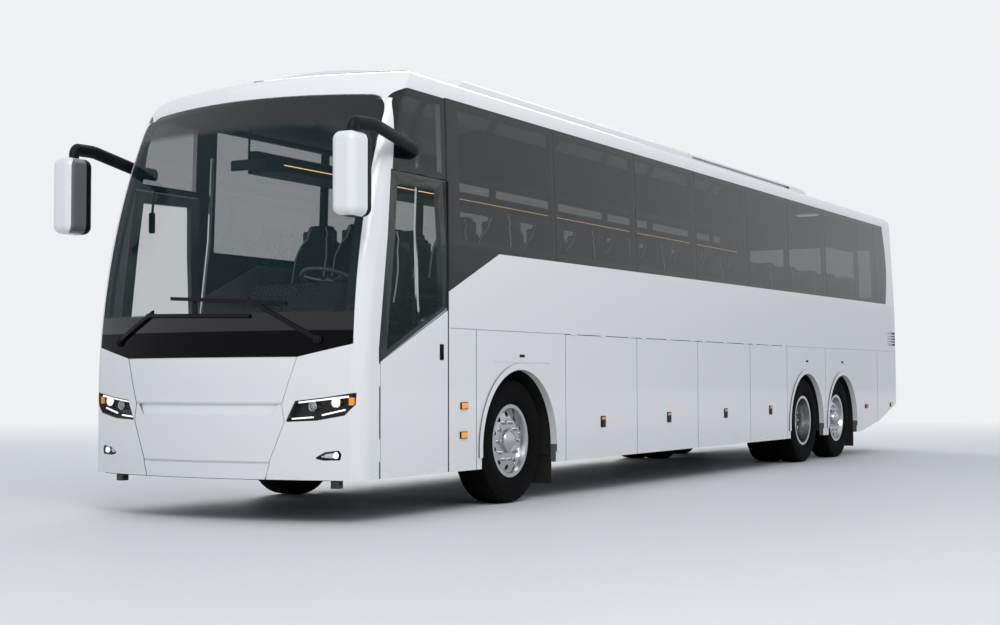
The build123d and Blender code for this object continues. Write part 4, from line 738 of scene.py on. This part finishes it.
# across, up, distance along from the front axle, radius of the lens, whether it is lit
LAMP_LENSES = ((0.906, 0.838, -2.385, 0.029, False), (1.072, 0.868, -2.337, 0.033, True),
               (1.082, 0.492, -2.347, 0.022, True))
LENS_SIDES = 36
FORWARD = Matrix.Rotation(-pi / 2, 4, "Z")
rings, clear_lenses, lit_lenses = [], [], []
for x, z, along, radius, lit in LAMP_LENSES:
    there = Matrix.Translation((x, FRONT_Y + along, z)) @ FORWARD
    ring = turned_piece("lens_ring", ((-0.045, radius * 1.22), (0.002, radius * 1.22), (0.006, radius * 1.16),
                                      (0.003, radius), (-0.014, radius * 0.98)), LENS_SIDES)
    ring.data.transform(there)
    rings += both_sides(ring)
    lens = turned_piece("lens", ((-0.012, radius), (-0.004, radius * 0.93), (0.004, radius * 0.72),
                                 (0.008, radius * 0.4), (0.0092, radius * 0.01)), LENS_SIDES)
    lens.data.transform(there)
    (lit_lenses if lit else clear_lenses).extend(both_sides(lens))
fit_coach("lens_rings", rings, lamp_chrome)
WEDGE_SIZE = (0.115, 0.010, 0.048)
WEDGE_TURN = 0.29
wedge = rounded_block("wedge", (0, 0, 0), WEDGE_SIZE, 0.003)
bpy.ops.object.mode_set(mode="EDIT")
choose_faces(wedge, lambda place, normal: place.x < -0.05)
bpy.ops.transform.resize(value=(1, 1, 0.45), center_override=(-0.05, 0, -0.004))
bpy.ops.object.mode_set(mode="OBJECT")
wedge_place = Matrix.Translation(nose_place(1.003, 0.490, 0.030))
wedge.data.transform(wedge_place @ Matrix.Rotation(WEDGE_TURN, 4, "Z"))
fit_coach("fog_wedges", both_sides(wedge), lamp_chrome)
fit_coach("dipped_lenses", clear_lenses, lens_glass)
fit_coach("lit_lenses", lit_lenses, lamp_white)

# Side markers: moulded amber and red lenses, pushed into holes in the skirts and held by thin
# black rubber seals.
# distance along from the front axle, height, colour
SIDE_MARKERS = ((-0.905, 0.824, "amber"), (-0.913, 0.595, "amber"), (11.158, 0.660, "amber"),
                (9.929, 0.657, "red"))
BODY_HALF = 1.275
marker_red = glowing("marker_red", (0.62, 0.012, 0.01), 0.15)
lenses = {"amber": [], "red": []}
seals = []
for along, height, colour in SIDE_MARKERS:
    middle = (BODY_HALF + 0.006, FRONT_Y + along, height)
    lenses[colour] += both_sides(rounded_block("marker", middle, (0.02, 0.098, 0.046), 0.006))
    seals += both_sides(rounded_block("seal", middle, (0.014, 0.106, 0.054), 0.004))
fit_coach("amber_markers", lenses["amber"], lamp_amber)
fit_coach("red_markers", lenses["red"], marker_red)
fit_coach("marker_seals", seals, satin_black)

# Flap locks: one to each luggage flap, a black paddle sunk in a square moulded frame, with a
# small amber reflector stuck on over it.
# number of the flap, distance along, height
FLAP_LOCKS = ((1, 1.596, 0.641), (2, 3.117, 0.650), (3, 4.663, 0.661), (4, 6.084, 0.669))
OUTWARD = Vector((1, 0, 0))
REARWARD = Vector((0, 1, 0))


def sink_face(piece, side, rim, depth):
    """Pushes in what lies within the rim of the face on one side."""
    bpy.ops.object.mode_set(mode="EDIT")
    choose_faces(piece, lambda place, normal: normal.dot(side) > 0.99)
    bpy.ops.mesh.inset(thickness=rim)
    bpy.ops.mesh.extrude_region_move(TRANSFORM_OT_translate={"value": side * -depth})
    bpy.ops.object.mode_set(mode="OBJECT")


def fit_pair(piece, name, body, material, ending=""):
    """Fits a piece of the left side and its mirror image, each on its own side's body."""
    for side_name, half in zip(("left", "right"), both_sides(piece)):
        half.name = f"{name}_{side_name}{ending}"
        fit(half, f"{body}_{side_name}{ending}", material)


reflector_amber = new_material("reflector_amber", (0.75, 0.22, 0.03), 0.18, coat=0.8)[0]
for number, along, height in FLAP_LOCKS:
    middle = Vector((BODY_HALF + 0.002, FRONT_Y + along, height))
    lock = rounded_block("lock", middle, (0.012, 0.096, 0.104), 0.004)
    sink_face(lock, OUTWARD, 0.008, 0.005)
    paddle = rounded_block("paddle", middle + Vector((0.003, 0, -0.016)), (0.006, 0.07, 0.05), 0.002)
    paddle_lock = join_pieces("lock", [lock, paddle])
    reflector = rounded_block("reflector", middle + Vector((0.003, 0, 0.03)), (0.008, 0.074, 0.026), 0.002)
    ending = f"_{number}"
    fit_pair(paddle_lock, "flap_lock", "luggage_flap", satin_black, ending)
    fit_pair(reflector, "flap_reflector", "luggage_flap", reflector_amber, ending)

# Door handles: an upright moulded cup let into the skin near the rear edge of each front door,
# with a black lever in it.
HANDLE_Y = FRONT_Y - 1.235
cup = rounded_block("cup", (BODY_HALF + 0.002, HANDLE_Y, 1.24), (0.012, 0.052, 0.122), 0.005)
sink_face(cup, OUTWARD, 0.007, 0.006)
lever = rounded_block("lever", (BODY_HALF + 0.007, HANDLE_Y, 1.25), (0.008, 0.022, 0.08), 0.003)
fit_pair(join_pieces("handle", [cup, lever]), "door_handle", "door", gloss_black)

# Door seals: strips of black rubber, pressed onto the upright edges of each front door to close
# the slot beside it.
# distance along, foot, head
DOOR_SEALS = ((-2.0795, 0.318, 1.255), (-1.1365, 0.318, 2.565))
seals = [rounded_block("seal", (BODY_HALF - 0.004, FRONT_Y + along, (foot + head) / 2),
                       (0.012, 0.013, head - foot), 0.002, 1)
         for along, foot, head in DOOR_SEALS]
fit_pair(join_pieces("door_seal", seals), "door_seal", "door", satin_black)

# Bumper shadow: a strip of black, laid along the lower edge of the front bumper and round its corners, is
# painted shade for the dark line under the bumper.
shade_strip_line = [nose_place(x / 10, 0.322, 0.006) for x in range(-11, 12)]
fit(bar_along("bumper_shade_strip", shade_strip_line, 0.010, 0.022), "coach", satin_black)

# Louvre backing: a dark plate behind the slats of the engine's air intake on each side, where
# the real one is a fine wire mesh.
backing = rounded_block("backing", (BODY_HALF - 0.058, 6.738, 1.61), (0.012, 0.40, 0.215), 0.003, 1)
fit_coach("louvre_backing", both_sides(backing), satin_black)

# Lock caps: a small turned and plated cover over the service lock, high on the rearmost luggage
# flap of each side.
lock_cap = turned_piece("lock_cap", ((-0.002, 0.011), (0.002, 0.011), (0.003, 0.009), (0.0025, 0.0005)), 20)
lock_cap.data.transform(Matrix.Translation((BODY_HALF, FRONT_Y + 6.565, 1.091)))
for side_name, cap in zip(("left", "right"), both_sides(lock_cap)):
    cap.name = f"lock_cap_{side_name}"
    fit(cap, f"luggage_flap_{side_name}_4", lamp_chrome)

# Roof details: a dark blade stuck on over the left side of the brow, and two flat marker lamps
# screwed to the roof beside it.
# across, distance along from the front axle
BLADE_START = (0.44, -1.50)
BLADE_RUN = (0.52, 0.26)
BLADE_STEPS = 8


def roof_place(x, along):
    """The point of the roof's outside over a place."""
    roof = frame["nodes"]["roof_shell"]
    return roof.ray_cast(Vector((x, FRONT_Y + along, 4)), Vector((0, 0, -1)))[1]


blade_line = [roof_place(BLADE_START[0] + BLADE_RUN[0] * step / BLADE_STEPS,
                         BLADE_START[1] + BLADE_RUN[1] * step / BLADE_STEPS) + Vector((0, 0, 0.010))
              for step in range(BLADE_STEPS + 1)]
blade = bar_along("roof_blade", blade_line, 0.05, 0.028)
roof_marks = [rounded_block("roof_mark", roof_place(x, along), (0.10, 0.05, 0.024), 0.008)
              for x, along in ((-1.10, -1.38), (-0.20, -1.60))]
fit_coach("roof_details", [blade, *roof_marks], satin_black)

# Arch creases: a line pressed into the panel over each wheel arch, in the same paint, with a
# small black flush catch above it.
# distance along, height of the crease, half its length
ARCH_CREASES = ((0.05, 1.164, 0.50), (7.42, 1.19, 0.46), (8.86, 1.19, 0.46))
creases, catches = [], []
for along, height, half in ARCH_CREASES:
    y = FRONT_Y + along
    crease = add_piece(bpy.ops.mesh.primitive_cube_add, "crease", size=1, location=(BODY_HALF, y, height),
                       scale=(0.006, 2 * half, 0.02))
    bpy.ops.object.mode_set(mode="EDIT")
    choose_faces(crease, lambda place, normal: normal.x > 0.99)
    bpy.ops.transform.resize(value=(1, 0.97, 0.25), center_override=(BODY_HALF, y, height + 0.006))
    bpy.ops.object.mode_set(mode="OBJECT")
    creases += both_sides(crease)
    catch = rounded_block("catch", (BODY_HALF, y, height + 0.062), (0.008, 0.085, 0.024), 0.003)
    catches += both_sides(catch)
fit_coach("arch_creases", creases, paint)
fit_coach("arch_catches", catches, satin_black)

# Mirror glass: silvered glass, a tall mirror with a small one over it, clipped into each black
# bezel.
GLASS_X = 1.325
GLASS_Y = FRONT_Y - 2.381
# lower and upper edge of each glass
GLASS_HEIGHTS = ((2.212, 2.520), (2.534, 2.716))
mirror_silver = new_material("mirror_silver", (0.82, 0.85, 0.87), 0.02, metallic=1.0)[0]
glasses = []
for low, high in GLASS_HEIGHTS:
    middle = (GLASS_X, GLASS_Y, (low + high) / 2)
    glasses += both_sides(rounded_block("glass", middle, (0.142, 0.006, high - low), 0.002))
fit_coach("mirror_glasses", glasses, mirror_silver)

# Wiper pivots: a domed cap of black plastic, pushed over the nut that holds each wiper's arm on
# its spindle.
# across, height
WIPER_PIVOTS = ((0.955, 1.318), (-0.93, 1.322))
caps = []
for x, z in WIPER_PIVOTS:
    cap = turned_piece("cap", ((0, 0.034), (0.018, 0.033), (0.030, 0.026), (0.036, 0.012),
                               (0.037, 0.0005)), 28)
    cap.data.transform(Matrix.Translation(nose_place(x, z, 0.01)) @ FORWARD)
    caps.append(cap)
fit_coach("wiper_caps", caps, satin_black)

# Seats: dark woven cloth over foam, with white piping, on dark shells and legs. One seat is
# shaped from crowned blocks and copied to every place, and the driver's is a little larger.
def padded_block(name, size, middle, cuts, move):
    """A subdivided block whose points are moved by a rule of their own place, and then smoothed."""
    piece = add_piece(bpy.ops.mesh.primitive_cube_add, name, size=1, location=middle, scale=size)
    bpy.ops.object.mode_set(mode="EDIT")
    bpy.ops.mesh.select_all(action="SELECT")
    bpy.ops.mesh.subdivide(number_cuts=cuts)
    bpy.ops.object.mode_set(mode="OBJECT")
    for vertex in piece.data.vertices:
        share = Vector(((vertex.co.x - middle[0]) / size[0], (vertex.co.y - middle[1]) / size[1],
                        (vertex.co.z - middle[2]) / size[2])) * 2
        vertex.co += Vector(move(share))
    softened = piece.modifiers.new("softened", "SUBSURF")
    softened.levels = softened.render_levels = 1
    bpy.ops.object.modifier_apply(modifier="softened")
    return piece


def cushion_move(p):
    crown = (1 - p.x ** 2) * (1 - p.y ** 2)
    edge = 0.022 * (1 - abs(p.z)) if abs(p.x) > 0.9 else 0
    return (edge * (-1 if p.x > 0 else 1), 0, 0.018 * crown * (p.z > 0) + 0.02 * (p.y < -0.6) * (p.z < 0))


def back_move(p):
    lean = 0.075 * (p.z + 1)
    bolster = -0.035 * max(0, abs(p.x) - 0.45) / 0.55 * (p.y < 0) * (1 - 0.5 * max(0, p.z))
    narrow = -0.16 * max(0, p.z) ** 3 * p.x * 0.21
    return (narrow, lean + bolster - 0.012 * (1 - p.z ** 2) * (p.y < 0), 0)


def head_move(p):
    return (-0.02 * p.x * max(0, p.z), 0.008 - 0.012 * (1 - p.x ** 2) * (p.y < 0), 0)


def seat_form(width, back_top):
    """The cloth, the piping and the frame of one seat, its front edge at zero and its feet on zero."""
    back_size = (width, 0.085, back_top - 0.60)
    back_middle = (0, 0.535, 0.45 + back_size[2] / 2)
    cloth = [padded_block("cushion", (width, 0.50, 0.125), (0, 0.27, 0.415), 3, cushion_move),
             padded_block("back", back_size, back_middle, 4, back_move),
             padded_block("headrest", (width * 0.66, 0.085, 0.185), (0, 0.672, back_top - 0.105), 3,
                          head_move)]
    edge = width / 2 - 0.045
    pipes = []
    for side in (-1, 1):
        line = [(side * edge, 0.458, 0.50), (side * (edge + 0.004), 0.486, 0.62),
                (side * edge, 0.522, 0.76), (side * (edge - 0.03), 0.566, 0.87),
                (side * (edge - 0.065), 0.612, 0.93), (side * (edge - 0.062), 0.626, back_top - 0.10),
                (side * (edge - 0.085), 0.634, back_top - 0.03)]
        pipes.append(tube("piping", line, 0.006))
    frame_parts = [rounded_block("shell", (0, 0.655, 0.74), (width - 0.05, 0.03, 0.52), 0.012, 1),
                   rounded_block("rail", (0, 0.3, 0.33), (width - 0.06, 0.42, 0.035), 0.008, 1)]
    for x in (-0.13, 0.13):
        frame_parts.append(rounded_block("leg", (x, 0.3, 0.16), (0.035, 0.30, 0.32), 0.008, 1))
    return (join_pieces("cloth_form", cloth), join_pieces("piping_form", pipes),
            join_pieces("frame_form", frame_parts))


def lay_seats(names, forms, places, replaced):
    finishes = ((seat_cloth, "seat_fabric"), (piping_white, "seat_fabric"), (seat_plastic, "dash_plastic"))
    for name, form, (material, slot_name) in zip(names, forms, finishes):
        piece = join_pieces(name, [copy_piece(form, Matrix.Translation(place)) for place in places])
        fit(piece, "coach", material, smooth=60)
        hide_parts(replaced)
        bpy.data.objects.remove(form)


piping_white = new_material("piping_white", (0.86, 0.86, 0.84), 0.6)[0]
seat_plastic = grained("seat_plastic", (0.06, 0.06, 0.065), 0.5, 400.0, 0.0005)
SEAT_ROWS = 13
ROW_PITCH = 0.81
ROW_ACROSS = (-0.96, -0.52, 0.52, 0.96)
FIRST_ROW_Y = FRONT_Y - 0.4
SALOON_FLOOR_Z = 1.4
DRIVER_X = 0.47
seat_places = [(x, FIRST_ROW_Y + ROW_PITCH * row, SALOON_FLOOR_Z)
               for row in range(SEAT_ROWS) for x in ROW_ACROSS]
lay_seats(("seat_cushions", "seat_piping", "seat_frames"), seat_form(0.43, 1.06), seat_places,
          "passenger_seats")
lay_seats(("driver_cushions", "driver_piping", "driver_frame"), seat_form(0.46, 1.12),
          [(DRIVER_X, FRONT_Y - 1.42, 1.15)], "crew_seats")

# Light strips: a warm lamp strip in a slim clear cover, fixed along the inner edge of each
# luggage rack.
strip_warm = glowing("strip_warm", (1.0, 0.62, 0.28), 1.6)
rack_strip = rounded_block("strip", (0.842, 0.575, 2.915), (0.012, 11.0, 0.018), 0.003, 1)
fit_coach("rack_lights", both_sides(rack_strip), strip_warm)

# Tail: a ring of black round each lamp chamber, a blank plate on its holder, a pull handle on
# the engine door, and reflectors in the bumper.
BEHIND_Y = 8
CHAMBER_X = 1.115
CHAMBER_TURN = radians(70)
CHAMBER_SIDES = 28
REFLECTOR_TURN = -0.14
# height, colour
CHAMBERS = ((1.60, "amber"), (1.44, "red"), (1.28, "red"), (1.12, "clear"))


def tail_place(x, z):
    """A point of the outside of the tail, seen straight from behind."""
    for node_name in ("tail_lamps", "engine_door", "rear_bumper", "rear_wall"):
        found, place, _, _ = frame["nodes"][node_name].ray_cast(Vector((x, BEHIND_Y, z)), -REARWARD)
        if found:
            return place


chambers, chamber_rings = {"amber": [], "clear": [], "red": []}, []
for z, kind in CHAMBERS:
    turn = Matrix.Translation(tail_place(CHAMBER_X, z)) @ Matrix.Rotation(CHAMBER_TURN, 4, "Z")
    lens = turned_piece("chamber", ((-0.004, 0.046), (0.006, 0.046), (0.012, 0.040), (0.015, 0.022),
                                    (0.016, 0.0005)), CHAMBER_SIDES)
    lens.data.transform(turn)
    chambers[kind] += both_sides(lens)
    ring = turned_piece("chamber_ring", ((-0.004, 0.056), (0.008, 0.056), (0.010, 0.052), (0.004, 0.047)),
                        CHAMBER_SIDES)
    ring.data.transform(turn)
    chamber_rings += both_sides(ring)
chamber_clear = new_material("chamber_clear", (0.72, 0.73, 0.75), 0.12, coat=0.8)[0]
fit_coach("amber_chambers", chambers["amber"], lamp_amber)
fit_coach("red_chambers", chambers["red"], marker_red)
fit_coach("reverse_chambers", chambers["clear"], chamber_clear)
fit_coach("chamber_rings", chamber_rings, satin_black)
plate_place = tail_place(0, 0.78)
holder = rounded_block("plate_holder", plate_place, (0.54, 0.016, 0.13), 0.004)
plate = rounded_block("blank_plate", plate_place + Vector((0, 0.008, 0)), (0.52, 0.006, 0.11), 0.002)
fit(holder, "coach", satin_black)
fit(plate, "coach", paint)
pull = rounded_block("engine_door_pull", tail_place(0, 1.08), (0.20, 0.02, 0.055), 0.006)
sink_face(pull, REARWARD, 0.008, 0.008)
fit(pull, "engine_door", satin_black)
# The rear reflectors take the glowing red of the markers, so they give off a painted glow though they are no
# lamps.
reflector = rounded_block("reflector", (0, 0, 0), (0.11, 0.012, 0.045), 0.003)
reflector_place = Matrix.Translation(tail_place(0.90, 0.80))
reflector.data.transform(reflector_place @ Matrix.Rotation(REFLECTOR_TURN, 4, "Z"))
fit_coach("rear_reflectors", both_sides(reflector), marker_red)

# Driver's place: an interior mirror on its stalk, a hooded cluster, the wheel's padded hub, a
# slim inner mirror on the right pillar and bright grab rails by both doors.
CLUSTER_LEAN = radians(-18)
HUB_LEAN = radians(-25)
cluster = rounded_block("cluster", (0, 0, 0), (0.40, 0.02, 0.15), 0.008)
cluster_place = Matrix.Translation((DRIVER_X, FRONT_Y - 1.905, 1.655))
cluster.data.transform(cluster_place @ Matrix.Rotation(CLUSTER_LEAN, 4, "X"))
fit(cluster, "coach", gloss_black)
hub_pad = rounded_block("hub_pad", (0, 0, 0.02), (0.15, 0.12, 0.04), 0.014)
hub_place = Matrix.Translation((DRIVER_X, FRONT_Y - 1.56, 1.78))
hub_pad.data.transform(hub_place @ Matrix.Rotation(HUB_LEAN, 4, "X"))
fit(hub_pad, "coach", satin_black)
pillar_mirror = rounded_block("pillar_mirror", (-1.09, FRONT_Y - 1.86, 2.30), (0.05, 0.035, 0.17), 0.012)
pillar_arm = tube("pillar_arm", [(-1.09, FRONT_Y - 1.86, 2.36), (-1.10, FRONT_Y - 1.83, 2.52),
                                 (-1.16, FRONT_Y - 1.74, 2.60)], 0.011)
fit_coach("pillar_mirror", [pillar_mirror, pillar_arm], satin_black)
mirror_stalk = tube("stalk", [(-0.28, -6.10, 3.05), (-0.24, -6.16, 2.86), (-0.20, -6.21, 2.76)], 0.009)
mirror_back = rounded_block("mirror_back", (-0.195, -6.225, 2.725), (0.34, 0.03, 0.085), 0.012)
fit_coach("cabin_mirror", [mirror_back, mirror_stalk], satin_black)
rails = [tube("grab_rail", [(side * 1.10, -5.72, 1.20), (side * 1.07, -5.74, 1.62), (side * 1.03, -5.70, 2.2),
                            (side * 1.03, -5.66, 2.9)], 0.016)
         for side in (-1, 1)]
fit_coach("grab_rails", rails, lamp_chrome)
